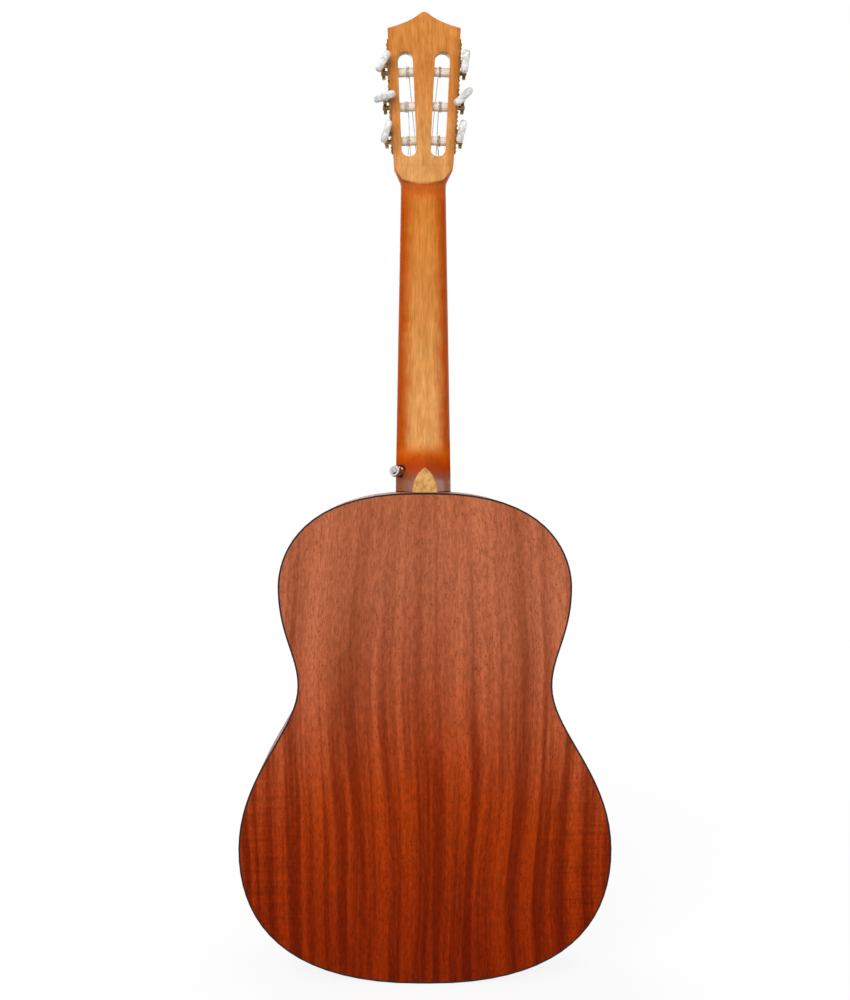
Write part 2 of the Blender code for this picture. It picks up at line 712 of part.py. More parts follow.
def make_fan_bracing():
    high = INSIDE_FRONT - GLUE
    low_y = SADDLE_AT - BRIDGE_BACK - PATCH_MARGIN
    high_y = SADDLE_AT + BRIDGE_FRONT + PATCH_MARGIN
    patch = box_mesh(
        "fan_bracing",
        (-PATCH_LENGTH / 2, low_y, high - PATCH_THICKNESS),
        (PATCH_LENGTH / 2, high_y, high),
    )
    bracing = piece("fan_bracing", patch, "bare_spruce", plan)
    bar_edge = SOUND_HOLE_AT - SOUND_HOLE_DIAMETER / 2 - BAR_FROM_HOLE - BAR_WIDTH
    top = Vector((FAN_HIGH_SPREAD / 2, bar_edge - FAN_FROM_BAR))
    bottom = Vector((FAN_LOW_SPREAD / 2, FAN_LOW_FROM_TAIL))
    # The fans stop a little short of the board, so that their faces and the patch's differ
    fan_high = high - PATCH_THICKNESS / 10
    for index in range(FAN_COUNT):
        share = 2 * index / (FAN_COUNT - 1) - 1
        start = Vector((bottom.x * share, bottom.y))
        end = Vector((top.x * share, top.y))
        run = end - start
        mesh = box_mesh(
            "fan", (-FAN_WIDTH / 2, -run.length / 2, fan_high - FAN_HEIGHT),
            (FAN_WIDTH / 2, run.length / 2, fan_high),
        )
        middle = (start + end) / 2
        turn = Matrix.Rotation(math.atan2(-run.x, run.y), 4, "Z")
        place = Matrix.Translation((middle.x, middle.y, 0)) @ turn
        boolean(bracing, cutter(f"fan_{index + 1}", mesh, plan, place), "UNION")


def neck_half_width(y):
    share = (NUT_AT - y) / (NUT_AT - BODY_LENGTH)
    return (NUT_WIDTH + (WIDTH_AT_BODY - NUT_WIDTH) * share) / 2


def neck_depth(y):
    share = (NUT_AT - y) / (NUT_AT - BODY_LENGTH)
    return NECK_DEPTH_AT_NUT + (NECK_DEPTH_AT_BODY - NECK_DEPTH_AT_NUT) * share


def rounded_section(half_width, depth, roundness):
    """Half a rounded section: flat on top, from one edge round the back to the other."""
    points = []
    for index in range(NECK_STEPS + 1):
        turn = math.pi * index / NECK_STEPS
        x = math.copysign(abs(math.cos(turn)) ** (2 / roundness), math.cos(turn))
        points.append((half_width * x, -depth * abs(math.sin(turn)) ** (2 / roundness)))
    return points


def shaft_mesh():
    """The neck from the body to where the head's flare is square."""
    span = NUT_AT - BODY_LENGTH

    def straight(y):
        ring = rounded_section(neck_half_width(y), neck_depth(y), NECK_ROUNDNESS)
        return [Vector((x, y, FRONT + z)) for x, z in ring]

    rings = [straight(BODY_LENGTH + GLUE)]
    rings += [straight(BODY_LENGTH + span * share) for share in NECK_RING_SHARES]
    for along, widening, deepening, roundness in NECK_FLARE_SHARES:
        half = (NUT_WIDTH + (HEAD_WIDTH_AT_FLARE - NUT_WIDTH) * widening) / 2
        depth = NECK_DEPTH_AT_NUT + (HEAD_THICKNESS - NECK_DEPTH_AT_NUT) * deepening
        sink = GLUE if along >= 1 else 0
        ring = rounded_section(half, depth - sink, roundness)
        place = head.matrix_local
        rings.append([place @ Vector((x, FLARE_LENGTH * along, z - sink)) for x, z in ring])
    return loft_mesh("neck", rings)


def heel_bottom():
    return back_rim(BODY_LENGTH) + HEEL_BOTTOM_GAP


def heel_section(half_width, length, height):
    """A bullet outline that stands on the body's edge."""
    points = []
    for index in range(HEEL_STEPS + 1):
        turn = math.pi * index / HEEL_STEPS
        y = BODY_LENGTH + GLUE + length * math.sin(turn) ** 2
        points.append(Vector((half_width * math.cos(turn), y, height)))
    return points


def heel_mesh():
    top = FRONT - HEEL_SUNK
    rings = []
    for share in HEEL_SLICE_SHARES:
        left = (1 - share) ** HEEL_FLARE
        half = (HEEL_CAP_WIDTH + (HEEL_WIDTH_AT_NECK - HEEL_CAP_WIDTH) * left) / 2
        length = HEEL_CAP_LENGTH + (HEEL_LENGTH_AT_NECK - HEEL_CAP_LENGTH) * left
        rings.append(heel_section(half, length, top + (heel_bottom() - top) * share))
    return loft_mesh("heel", rings)


def tenon_low():
    return heel_bottom() + HEEL_CAP_WIDTH


def head_half_width(along):
    share = (along - FLARE_LENGTH) / (SHOULDER_FROM_NUT - FLARE_LENGTH)
    return (HEAD_WIDTH_AT_FLARE + (HEAD_WIDTH_AT_SHOULDER - HEAD_WIDTH_AT_FLARE) * share) / 2


def crest_points():
    """From the treble shoulder up a hollow curve to the rounded peak."""
    shoulder = HEAD_WIDTH_AT_SHOULDER / 2
    knots = [
        Vector((shoulder * across, SHOULDER_FROM_NUT + CREST_HEIGHT * up, 0)) for across, up in CREST_SHARES
    ]
    points = [(point.x, point.y) for point in interpolate_bezier(*knots, CREST_STEPS)]
    return points + [(0, SHOULDER_FROM_NUT + CREST_HEIGHT)]


def side_frame(side):
    """Axes on a head side: X out of it, Y along it (down it on the bass side), Z to the front."""
    turn = Matrix.Rotation(-HEAD_TAPER if side > 0 else math.pi + HEAD_TAPER, 4, "Z")
    place = Matrix.Translation((side * head_half_width(FIRST_ROLLER), FIRST_ROLLER, -ROLLER_DEPTH))
    return place @ turn


def slot_loop(side):
    """A slot's outline on the head's face, along the head's side and with round ends."""
    radius = SLOT_WIDTH / 2
    place = side_frame(side)
    ends = []
    for along, start in ((SLOT_START, math.pi), (SLOT_END, 0)):
        inward = radius if along == SLOT_START else -radius
        centre = (along + inward - FIRST_ROLLER) * side
        for index in range(SLOT_END_STEPS + 1):
            turn = start + math.pi * index / SLOT_END_STEPS
            spot = place @ Vector((-SLOT_CENTRE + side * radius * math.cos(turn),
                                   centre + side * radius * math.sin(turn), 0))
            ends.append((spot.x, spot.y))
    return ends


def head_loops(start, start_half_width):
    crest = crest_points()
    side = [(start_half_width, start)]
    if start < FLARE_LENGTH:
        side.append((HEAD_WIDTH_AT_FLARE / 2, FLARE_LENGTH))
    edge = side + crest
    outer = edge + mirrored(edge[:-1])[::-1]
    return [outer, slot_loop(1), slot_loop(-1)]


def ramp_cutters():
    """Wedges that let the strings run down into the slots."""
    slope = math.atan2(RAMP_DEPTH, RAMP_LENGTH)
    length = math.hypot(RAMP_DEPTH, RAMP_LENGTH)
    made = []
    for side in (1, -1):
        mesh = box_mesh("ramp", (-RAMP_WIDTH / 2, 0, 0), (RAMP_WIDTH / 2, length, RAMP_LENGTH))
        spot = side_frame(side) @ Vector((-SLOT_CENTRE, (SLOT_START - FIRST_ROLLER) * side, 0))
        start = (spot.x, SLOT_START + SLOT_WIDTH / 2 - RAMP_LENGTH, HEAD_VENEER + 2 * GLUE)
        turn = Matrix.Rotation(-side * HEAD_TAPER, 4, "Z") @ Matrix.Rotation(-slope, 4, "X")
        name = "ramp_treble" if side > 0 else "ramp_bass"
        made.append(cutter(name, mesh, head, Matrix.Translation(start) @ turn))
    return made


def make_neck(ramps, machines):
    neck = piece("neck", shaft_mesh(), "amber_mahogany", plan)
    boolean(neck, cutter("heel", heel_mesh(), plan), "UNION")
    side = TENON_WIDTH / 2 - GLUE
    tenon = box_mesh(
        "tenon",
        (-side, BODY_LENGTH - TENON_LENGTH, tenon_low()),
        (side, BODY_LENGTH + TENON_LENGTH / 4, FRONT - BINDING_HEIGHT - GLUE),
    )
    boolean(neck, cutter("tenon", tenon, plan), "UNION")
    loops = head_loops(FLARE_LENGTH, HEAD_WIDTH_AT_FLARE / 2)
    slab = cutter("head_slab", outline_mesh("head_slab", loops, -HEAD_THICKNESS, 0), head)
    boolean(neck, slab, "UNION")
    bore = ROLLER_DIAMETER / 2 + RUNNING_FIT
    depth = SLOT_RAIL + SLOT_WIDTH + ROLLER_SEAT + RUNNING_FIT
    for number, machine in machines.items():
        mesh = rod_mesh("roller_bore", bore, -depth, GEAR_STANDOFF)
        place = Matrix.Rotation(math.pi / 2, 4, "Y")
        boolean(neck, cutter(f"roller_bore_{number}", mesh, machine, place), "DIFFERENCE")
    for ramp in ramps:
        boolean(neck, ramp, "DIFFERENCE")
    return neck


def make_head_veneer(ramps):
    start = GLUE
    half = (NUT_WIDTH + (HEAD_WIDTH_AT_FLARE - NUT_WIDTH) * start / FLARE_LENGTH) / 2
    mesh = outline_mesh("head_veneer", head_loops(start, half), GLUE, GLUE + HEAD_VENEER)
    veneer = piece("head_veneer", mesh, "rosewood", head)
    for ramp in ramps:
        boolean(veneer, ramp, "DIFFERENCE")


def make_heel_cap():
    bottom = back_rim(BODY_LENGTH)
    ring = heel_section(HEEL_CAP_WIDTH / 2, HEEL_CAP_LENGTH, bottom)
    outline = [(point.x, point.y) for point in ring]
    mesh = outline_mesh("heel_cap", [outline], bottom, bottom + HEEL_CAP_THICKNESS)
    piece("heel_cap", mesh, "heel_cap_maple", plan)


def make_fretboard():
    """The board with its frets, as one side profile that widens towards the body."""
    top = FRETBOARD_TOP
    profile = [(FRETBOARD_END, FRONT + GLUE), (NUT_AT - GLUE, FRONT + GLUE), (NUT_AT - GLUE, top)]
    for fret in range(1, FRET_COUNT + 1):
        y = NUT_AT - SCALE_LENGTH * (1 - 2 ** (-fret / 12))
        profile += [
            (y + FRET_WIDTH / 2, top),
            (y + FRET_WIDTH / 4, top + FRET_HEIGHT),
            (y - FRET_WIDTH / 4, top + FRET_HEIGHT),
            (y - FRET_WIDTH / 2, top),
        ]
    profile.append((FRETBOARD_END, top))
    mesh = outline_mesh("fretboard", [profile], -1, 1)
    mesh.transform(ALONG)
    for vertex in mesh.vertices:
        vertex.co.x = math.copysign(neck_half_width(vertex.co.y), vertex.co.x)
    piece("fretboard", mesh, "rosewood", plan)


def string_x(number, spacing):
    return ((len(STRINGS) + 1) / 2 - number) * spacing


def make_nut():
    bottom = FRONT + GLUE
    floor = FRETBOARD_TOP + HEIGHT_AT_NUT - GLUE
    top = floor + GLUE + NUT_LIP
    half = NUT_WIDTH / 2
    outline = [(-half, bottom), (half, bottom), (half, top)]
    for number in STRINGS:
        x = string_x(number, SPACING_AT_NUT)
        right = x + NUT_GROOVE_WIDTH / 2
        left = x - NUT_GROOVE_WIDTH / 2
        outline += [(right, top), (right, floor), (left, floor), (left, top)]
    outline.append((-half, top))
    mesh = outline_mesh("nut", [outline], -NUT_THICKNESS / 2, NUT_THICKNESS / 2)
    piece("nut", mesh, "bone", plan, Matrix.Translation((0, NUT_AT + NUT_THICKNESS / 2, 0)) @ ACROSS)


def make_bridge():
    half_slot = SADDLE_THICKNESS / 2 + GLUE
    profile = [
        (-BRIDGE_BACK, 0), (BRIDGE_FRONT, 0), (BRIDGE_FRONT, BRIDGE_FRONT_EDGE),
        (CHANNEL_START, BRIDGE_HEIGHT), (half_slot, BRIDGE_HEIGHT), (half_slot, SADDLE_SEAT),
        (-half_slot, SADDLE_SEAT), (-half_slot, BRIDGE_HEIGHT), (-CHANNEL_START, BRIDGE_HEIGHT),
        (-CHANNEL_START, CHANNEL_FLOOR), (-TIE_BLOCK_START, CHANNEL_FLOOR),
        (-TIE_BLOCK_START, TIE_BLOCK_HEIGHT), (-BRIDGE_BACK, TIE_BLOCK_HEIGHT),
    ]
    seat = Matrix.Translation((0, SADDLE_AT, FRONT + GLUE))
    half = BRIDGE_CENTRE_LENGTH / 2
    mesh = outline_mesh("bridge", [profile], -half, half)
    mesh.transform(ALONG)
    bridge = piece("bridge", mesh, "rosewood", plan, seat)
    overlap = BRIDGE_CENTRE_LENGTH / 4
    for side, name in ((1, "wing_treble"), (-1, "wing_bass")):
        ends = sorted((side * (half - overlap), side * BRIDGE_LENGTH / 2))
        wing = box_mesh(
            name, (ends[0], -BRIDGE_BACK + WING_STEP, 0),
            (ends[1], BRIDGE_FRONT - WING_STEP, WING_HEIGHT - WING_STEP / 2),
        )
        boolean(bridge, cutter(name, wing, plan, seat), "UNION")
    for number in STRINGS:
        mesh = rod_mesh("tie_hole", TIE_HOLE_DIAMETER / 2, -BRIDGE_BACK, BRIDGE_BACK, SMALL_HOLE_STEPS)
        spot = (string_x(number, SPACING_AT_SADDLE), SADDLE_AT - BRIDGE_BACK - TIE_BLOCK_START,
                FRONT + GLUE + TIE_HOLE_HEIGHT)
        place = Matrix.Translation(spot) @ ACROSS
        boolean(bridge, cutter(f"tie_hole_{number}", mesh, plan, place), "DIFFERENCE")


def make_saddle():
    half = SADDLE_THICKNESS / 2
    low = FRONT + 2 * GLUE + SADDLE_SEAT
    high = FRETBOARD_TOP + HEIGHT_AT_SADDLE - GLUE
    mesh = box_mesh(
        "saddle", (-SADDLE_LENGTH / 2, SADDLE_AT - half, low), (SADDLE_LENGTH / 2, SADDLE_AT + half, high)
    )
    piece("saddle", mesh, "bone", plan)


def machine_seat(number):
    """The machine's head side, and its rank from the nut."""
    if number <= 3:
        return 1, number - 1
    return -1, 6 - number


def make_machine_frames():
    sides = {
        1: frame("treble_side", head, side_frame(1)),
        -1: frame("bass_side", head, side_frame(-1)),
    }
    machines = {}
    for number in STRINGS:
        side, rank = machine_seat(number)
        place = Matrix.Translation((0, side * rank * ROLLER_SPACING, 0))
        machines[number] = frame(f"machine_{number}", sides[side], place)
    return sides, machines


def plate_loops(side):
    """A long plate with pointed ends, drawn along the head's side and across its thickness."""
    low = -PLATE_BELOW_ROLLERS
    high = 2 * ROLLER_SPACING + PLATE_ABOVE_ROLLERS
    half = PLATE_WIDTH / 2
    bend = PLATE_POINT * PLATE_BEND_SHARES[0]
    swell = half * PLATE_BEND_SHARES[1]
    outline = [
        (low, 0), (low + bend, -swell), (low + PLATE_POINT, -half),
        (high - PLATE_POINT, -half), (high - bend, -swell), (high, 0),
        (high - bend, swell), (high - PLATE_POINT, half),
        (low + PLATE_POINT, half), (low + bend, swell),
    ]
    loops = [[(y * side, z) for y, z in outline]]
    for rank in range(3):
        loops.append(circle(POST_DIAMETER / 2 + RUNNING_FIT, (side * rank * ROLLER_SPACING, 0), TURNED_STEPS))
    return loops


def ear_mesh():
    """A bearing ear for a worm shaft, with its foot in the plate."""
    foot = GLUE + PLATE_THICKNESS / 2 - GEAR_CENTRE
    half = EAR_WIDTH / 2
    outer = [(foot, -half), (foot, half)]
    reach = SHAFT_DIAMETER / 2 + EAR_WALL
    shoulder = reach * EAR_SHOULDER_SHARE
    top = half * EAR_TOP_SHARE
    outer += [(shoulder, half), (reach, top), (reach, -top), (shoulder, -half)]
    bore = circle(SHAFT_DIAMETER / 2 + RUNNING_FIT, (0, 0), SMALL_HOLE_STEPS)
    return outline_mesh("ear", [outer, bore], -EAR_THICKNESS / 2, EAR_THICKNESS / 2)


def make_plate(name, side, parent):
    mesh = outline_mesh(name, plate_loops(side), GLUE, GLUE + PLATE_THICKNESS)
    mesh.transform(ALONG)
    plate = piece(name, mesh, "aged_brass", parent)
    ear = ear_mesh()
    middle = (EAR_INNER + EAR_OUTER) / 2
    places = []
    for rank in range(3):
        y = side * (rank * ROLLER_SPACING + WORM_OFFSET)
        places += [Matrix.Translation((GEAR_CENTRE, y, z)) for z in (-middle, middle)]
    ears = joined_mesh(name + "_ears", [ear] * len(places), places)
    boolean(plate, cutter(name + "_ears", ears, parent), "UNION")


def gear_mesh():
    """Teeth that lean to the worm's lead, so that they lie along its thread."""
    tip = GEAR_PITCH_RADIUS + ADDENDUM
    root = GEAR_PITCH_RADIUS - DEDENDUM
    thick = TOOTH_SHARE * CIRCULAR_PITCH
    tip_half = (thick / 2 - ADDENDUM * FLANK_SLOPE) / tip
    root_half = (thick / 2 + DEDENDUM * FLANK_SLOPE) / root
    outline = []
    for tooth in range(GEAR_TEETH):
        middle = 2 * math.pi * (tooth + 0.5) / GEAR_TEETH
        for radius, turn in ((root, -root_half), (tip, -tip_half), (tip, tip_half), (root, root_half)):
            outline.append((radius * math.cos(middle + turn), radius * math.sin(middle + turn)))
    bore = circle(POST_DIAMETER / 2 + GLUE, (0, 0), TURNED_STEPS)
    mesh = outline_mesh("gear", [outline, bore], -GEAR_FACE / 2, GEAR_FACE / 2)
    mesh.transform(ALONG)
    lead = CIRCULAR_PITCH / (2 * math.pi * WORM_PITCH_RADIUS)
    for vertex in mesh.vertices:
        twist = Matrix.Rotation(lead * vertex.co.x / GEAR_PITCH_RADIUS, 3, "X")
        vertex.co = twist @ vertex.co
    return mesh


def thread_mesh(facing):
    """The worm's thread, spun from its section, with a crest level with the gear's middle."""
    crest = WORM_PITCH_RADIUS + ADDENDUM
    sunk = WORM_PITCH_RADIUS - DEDENDUM - GLUE
    thick = TOOTH_SHARE * CIRCULAR_PITCH
    crest_half = thick / 2 - ADDENDUM * FLANK_SLOPE
    sunk_half = thick / 2 + (DEDENDUM + GLUE) * FLANK_SLOPE
    turns = (WORM_THREAD_LENGTH - 2 * sunk_half) / CIRCULAR_PITCH
    steps = round(turns * WORM_TURN_STEPS)
    shape = bmesh.new()
    corners = ((sunk, -sunk_half), (crest, -crest_half), (crest, crest_half), (sunk, sunk_half))
    section = shape.faces.new([shape.verts.new((radius, 0, z)) for radius, z in corners])
    bmesh.ops.spin(
        shape, geom=[section, *section.edges, *section.verts], cent=(0, 0, 0), axis=(0, 0, 1),
        dvec=(0, 0, CIRCULAR_PITCH / WORM_TURN_STEPS),
        angle=2 * math.pi * steps / WORM_TURN_STEPS, steps=steps, use_duplicate=False,
    )
    bmesh.ops.recalc_face_normals(shape, faces=shape.faces)
    climb = CIRCULAR_PITCH * steps / WORM_TURN_STEPS
    half_turn = math.pi * steps / WORM_TURN_STEPS
    bmesh.ops.translate(shape, vec=(0, 0, -climb / 2), verts=shape.verts)
    spin = Matrix.Rotation(facing - half_turn, 3, "Z")
    bmesh.ops.rotate(shape, cent=(0, 0, 0), matrix=spin, verts=shape.verts)
    return mesh_of("thread", shape)


def make_worm(number, side, parent):
    root = WORM_PITCH_RADIUS - DEDENDUM
    shaft = SHAFT_DIAMETER / 2
    half = WORM_THREAD_LENGTH / 2
    front = EAR_OUTER + 2 * GLUE
    back = -(HEAD_BACK + BUTTON_CLEARANCE + BUTTON_SOCKET)
    profile = [(0, front), (shaft, front), (shaft, half), (root, half), (root, -half), (shaft, -half),
               (shaft, back), (0, back)]
    name = f"worm_shaft_{number}"
    worm = turned(name, profile, False, "aged_brass", parent, Matrix.Identity(4))
    thread = thread_mesh(-side * math.pi / 2)
    boolean(worm, cutter(f"thread_{number}", thread, parent), "UNION")


def button_mesh():
    """A paddle seen flat: its collar at the shaft, its width across."""
    half = BUTTON_WIDTH / 2
    collar = BUTTON_COLLAR / 2
    edge = [(collar, 0), (collar, BUTTON_LENGTH * BUTTON_COLLAR_SHARE)]
    edge += [(half * across, BUTTON_LENGTH * along) for across, along in BUTTON_EDGE_SHARES]
    outline = edge + mirrored(edge)[::-1]
    return outline_mesh("button", [outline], -BUTTON_THICKNESS / 2, BUTTON_THICKNESS / 2)


def make_button(number, mesh, parent):
    start = -(HEAD_BACK + BUTTON_CLEARANCE)
    # The paddle's length runs backwards along the shaft, and its width starts along the head
    stand = Matrix(((0, 0, -1, 0), (1, 0, 0, 0), (0, -1, 0, start), (0, 0, 0, 1)))
    turn = Matrix.Rotation(math.radians(BUTTON_TURNS[number - 1]), 4, "Z")
    button = piece(f"button_{number}", mesh, "pearl_plastic", parent, turn @ stand)
    rounding = button.modifiers.new("rounding", "BEVEL")
    rounding.width = BUTTON_ROUNDING
    rounding.segments = 1
    rounding.limit_method = "ANGLE"
    rounding.angle_limit = BUTTON_ROUNDING_ANGLE
    radius = SHAFT_DIAMETER / 2 + GLUE
    socket = rod_mesh("socket", radius, start - BUTTON_SOCKET - GLUE, start + BUTTON_SOCKET)
    boolean(button, cutter(f"socket_{number}", socket, parent), "DIFFERENCE")


def make_roller(number, parent):
    """A roller drawn along X: its barrel in the head, and its post through the plate to the gear."""
    barrel = ROLLER_DIAMETER / 2
    post = POST_DIAMETER / 2
    inner = -(SLOT_RAIL + SLOT_WIDTH + ROLLER_SEAT)
    outer = GEAR_STANDOFF + GEAR_FACE + GLUE
    profile = [(0, outer), (post, outer), (post, 0), (barrel, 0), (barrel, inner), (0, inner)]
    turn = Matrix.Rotation(math.pi / 2, 4, "Y")
    turned(f"roller_{number}", profile, False, "cream_plastic", parent, turn)


def make_machines(sides, machines):
    make_plate("tuner_plate_treble", 1, sides[1])
    make_plate("tuner_plate_bass", -1, sides[-1])
    gear = gear_mesh()
    button = button_mesh()
    for number, machine in machines.items():
        side, _ = machine_seat(number)
        make_roller(number, machine)
        piece(f"gear_{number}", gear.copy(), "aged_brass", machine, Matrix.Translation((GEAR_CENTRE, 0, 0)))
        axis = Matrix.Translation((GEAR_CENTRE, side * WORM_OFFSET, 0))
        worm = frame(f"worm_axis_{number}", machine, axis)
        make_worm(number, side, worm)
        make_button(number, button.copy(), worm)


def tangent_turn(distance, rise, radius):
    """How far past its front a line from nearer the nut meets the roller, as an angle."""
    reach = math.hypot(distance, rise)
    return math.atan2(rise, distance) - math.asin(radius / reach)


def string_path(number, machines):
    """Points from the tie at the bridge, over saddle and nut, to the turns on the roller."""
    radius = STRING_DIAMETERS[number - 1] / 2
    side, _ = machine_seat(number)
    x = string_x(number, SPACING_AT_SADDLE)
    deck = FRONT + GLUE
    hole = deck + TIE_HOLE_HEIGHT
    over = deck + TIE_BLOCK_HEIGHT + radius + GLUE
    levels = {"over": over, "middle": (over + hole) / 2, "hole": hole}
    faces = {"front": SADDLE_AT - TIE_BLOCK_START, "rear": SADDLE_AT - BRIDGE_BACK}
    lean = SPACING_AT_SADDLE / len(STRINGS)
    top = FRETBOARD_TOP + HEIGHT_AT_SADDLE + radius
    half = SADDLE_THICKNESS / 2
    stand = radius + 2 * GLUE
    # The tie: in front of the block, over it, down behind it and back through its hole
    points = [
        Vector((x + lean * share, faces[face] + stand * out, levels[level] + radius * radii))
        for share, face, out, level, radii in TIE_SHARES
    ]
    points += [
        Vector((x, SADDLE_AT - half - stand, top - stand / 3)),
        Vector((x, SADDLE_AT - half, top)),
        Vector((x, SADDLE_AT + half, top)),
    ]
    nut_x = string_x(number, SPACING_AT_NUT)
    nut_top = FRETBOARD_TOP + HEIGHT_AT_NUT + radius
    points.append(Vector((nut_x, NUT_AT, nut_top)))
    points.append(Vector((nut_x, NUT_AT + NUT_THICKNESS * NUT_BREAK_SHARE, nut_top)))
    points.append(Vector((nut_x, NUT_AT + NUT_THICKNESS + stand, nut_top - stand / 3)))
    place = plan.matrix_world.inverted() @ machines[number].matrix_world
    leaving = place.inverted() @ points[-1]
    wind = (ROLLER_DIAMETER / 2 + radius + GLUE) / math.cos(math.pi / WINDING_STEPS)
    pitch = 2 * radius + WINDING_GAP
    # Local Y runs down the head on the bass side, so the turns there run the other way
    first = tangent_turn(-side * leaving.y, leaving.z, wind)
    count = WINDING_TURNS[number - 1] * WINDING_STEPS
    coil = []
    for index in range(count + 1):
        turn = first + 2 * math.pi * index / WINDING_STEPS
        along = -WINDING_START[number - 1] + pitch * index / WINDING_STEPS
        coil.append(Vector((along, side * wind * math.sin(turn), wind * math.cos(turn))))
    points += [place @ point for point in coil]
    gap = least_gap(coil, WINDING_STEPS // 2) - 2 * radius
    print(f"string_{number}: least gap between its turns {gap * 1000:.2f} mm")
    return points


def least_gap(points, apart):
    """The least distance between points of a winding that aren't neighbours along it."""
    gaps = []
    for index, point in enumerate(points):
        gaps += [(point - other).length for other in points[index + apart:]]
    return min(gaps)


def make_strings(machines):
    bpy.context.view_layer.update()
    for number in STRINGS:
        name = f"string_{number}"
        path = string_path(number, machines)
        curve = bpy.data.curves.new(name, "CURVE")
        curve.dimensions = "3D"
        curve.bevel_depth = STRING_DIAMETERS[number - 1] / 2
        curve.bevel_resolution = 1
        curve.use_fill_caps = True
        spline = curve.splines.new("POLY")
        spline.points.add(len(path) - 1)
        for point, place in zip(spline.points, path):
            point.co = (*place, 1)
        piece(name, curve, "clear_nylon" if number <= 3 else "wound_silver", plan)


def strap_seat(neck):
    """Axes for the strap button: where its washer meets the heel's side, Z out along the screw."""
    axis = Vector((math.cos(STRAP_BUTTON_TILT), 0, -math.sin(STRAP_BUTTON_TILT)))
    turn = axis.to_track_quat("Z", "Y").to_matrix().to_4x4()
    y = BODY_LENGTH + STRAP_BUTTON_ABOVE_BODY
    across = STRAP_BUTTON_ACROSS_SHARE * neck_half_width(y)
    line = Matrix.Translation((across, y, FRONT - STRAP_BUTTON_DOWN_SHARE * neck_depth(y))) @ turn
    bpy.context.view_layer.update()
    solid = neck.evaluated_get(bpy.context.evaluated_depsgraph_get())
    spots = [(0, 0)]
    for radius in (STRAP_WASHER_DIAMETER / 4, STRAP_WASHER_DIAMETER / 2):
        spots += circle(radius, (0, 0), TURNED_STEPS)
    reach = []
    for x, z in spots:
        hit, place, _, _ = solid.ray_cast(line @ Vector((x, z, BODY_LENGTH)), -axis)
        if hit:
            reach.append((line.inverted() @ place).z)
    return frame("strap_axis", plan, line @ Matrix.Translation((0, 0, max(reach))))


def make_strap_button(neck):
    seat = strap_seat(neck)
    shank = STRAP_SCREW_DIAMETER / 2
    bore = shank + GLUE
    start = GLUE
    end = start + STRAP_WASHER_THICKNESS
    rim = STRAP_WASHER_DIAMETER / 2
    washer = [(rim, end), (rim, start), (bore, start), (bore, end)]
    turned("strap_washer", washer, True, "black_felt", seat, Matrix.Identity(4))
    low = end + GLUE
    high = low + STRAP_BUTTON_HEIGHT
    widths = {"flange": STRAP_FLANGE_DIAMETER, "neck": STRAP_NECK_DIAMETER, "base": STRAP_BASE_DIAMETER}
    recess = STRAP_SCREW_HEAD / 2 + GLUE
    floor = high - STRAP_SCREW_HEAD_HEIGHT / 2
    button = [(recess, high)]
    button += [
        (widths[name] * share / 2, low + STRAP_BUTTON_HEIGHT * up) for name, share, up in STRAP_BUTTON_SHARES
    ]
    button += [(bore, low), (bore, floor), (recess, floor)]
    turned("strap_button", button, True, "chrome", seat, Matrix.Identity(4))
    cap = STRAP_SCREW_HEAD / 2
    under = floor + GLUE
    tip = under - STRAP_SCREW_LENGTH
    top = under + STRAP_SCREW_HEAD_HEIGHT
    screw = [
        (0, top), (cap * STRAP_SCREW_FLAT_SHARE, top), (cap, (under + top) / 2), (cap, under),
        (shank, under), (shank, tip + STRAP_SCREW_DIAMETER), (0, tip),
    ]
    turned("strap_screw", screw, False, "chrome", seat, Matrix.Identity(4))
    hole = rod_mesh("strap_screw_hole", bore, tip - GLUE, high)
    boolean(neck, cutter("strap_screw_hole", hole, seat), "DIFFERENCE")


def main():
    make_soundboard()
    make_rosette()
    make_back()
    make_sides()
    make_bindings()
    make_linings()
    make_blocks()
    make_harmonic_bars()
    make_back_braces()
    make_fan_bracing()
    sides, machines = make_machine_frames()
    ramps = ramp_cutters()
    neck = make_neck(ramps, machines)
    make_head_veneer(ramps)
    make_heel_cap()
    make_fretboard()
    make_nut()
    make_bridge()
    make_saddle()
    make_machines(sides, machines)
    make_strap_button(neck)
    make_strings(machines)


main()
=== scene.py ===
import math

import bpy
from mathutils import Matrix, Vector


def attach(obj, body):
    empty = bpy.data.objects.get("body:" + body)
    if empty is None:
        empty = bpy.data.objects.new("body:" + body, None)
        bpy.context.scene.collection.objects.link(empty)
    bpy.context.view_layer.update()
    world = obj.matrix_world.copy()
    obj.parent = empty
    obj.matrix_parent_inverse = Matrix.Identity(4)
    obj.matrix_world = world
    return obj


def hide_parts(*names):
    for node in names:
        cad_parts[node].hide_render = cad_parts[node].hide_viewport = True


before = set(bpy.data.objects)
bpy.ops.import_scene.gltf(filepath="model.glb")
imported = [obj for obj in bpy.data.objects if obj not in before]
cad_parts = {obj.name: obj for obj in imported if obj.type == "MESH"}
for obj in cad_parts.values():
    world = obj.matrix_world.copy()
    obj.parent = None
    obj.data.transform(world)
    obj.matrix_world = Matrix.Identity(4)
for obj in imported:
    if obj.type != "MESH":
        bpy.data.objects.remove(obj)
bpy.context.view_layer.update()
print("frame loaded:", len(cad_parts), "nodes")

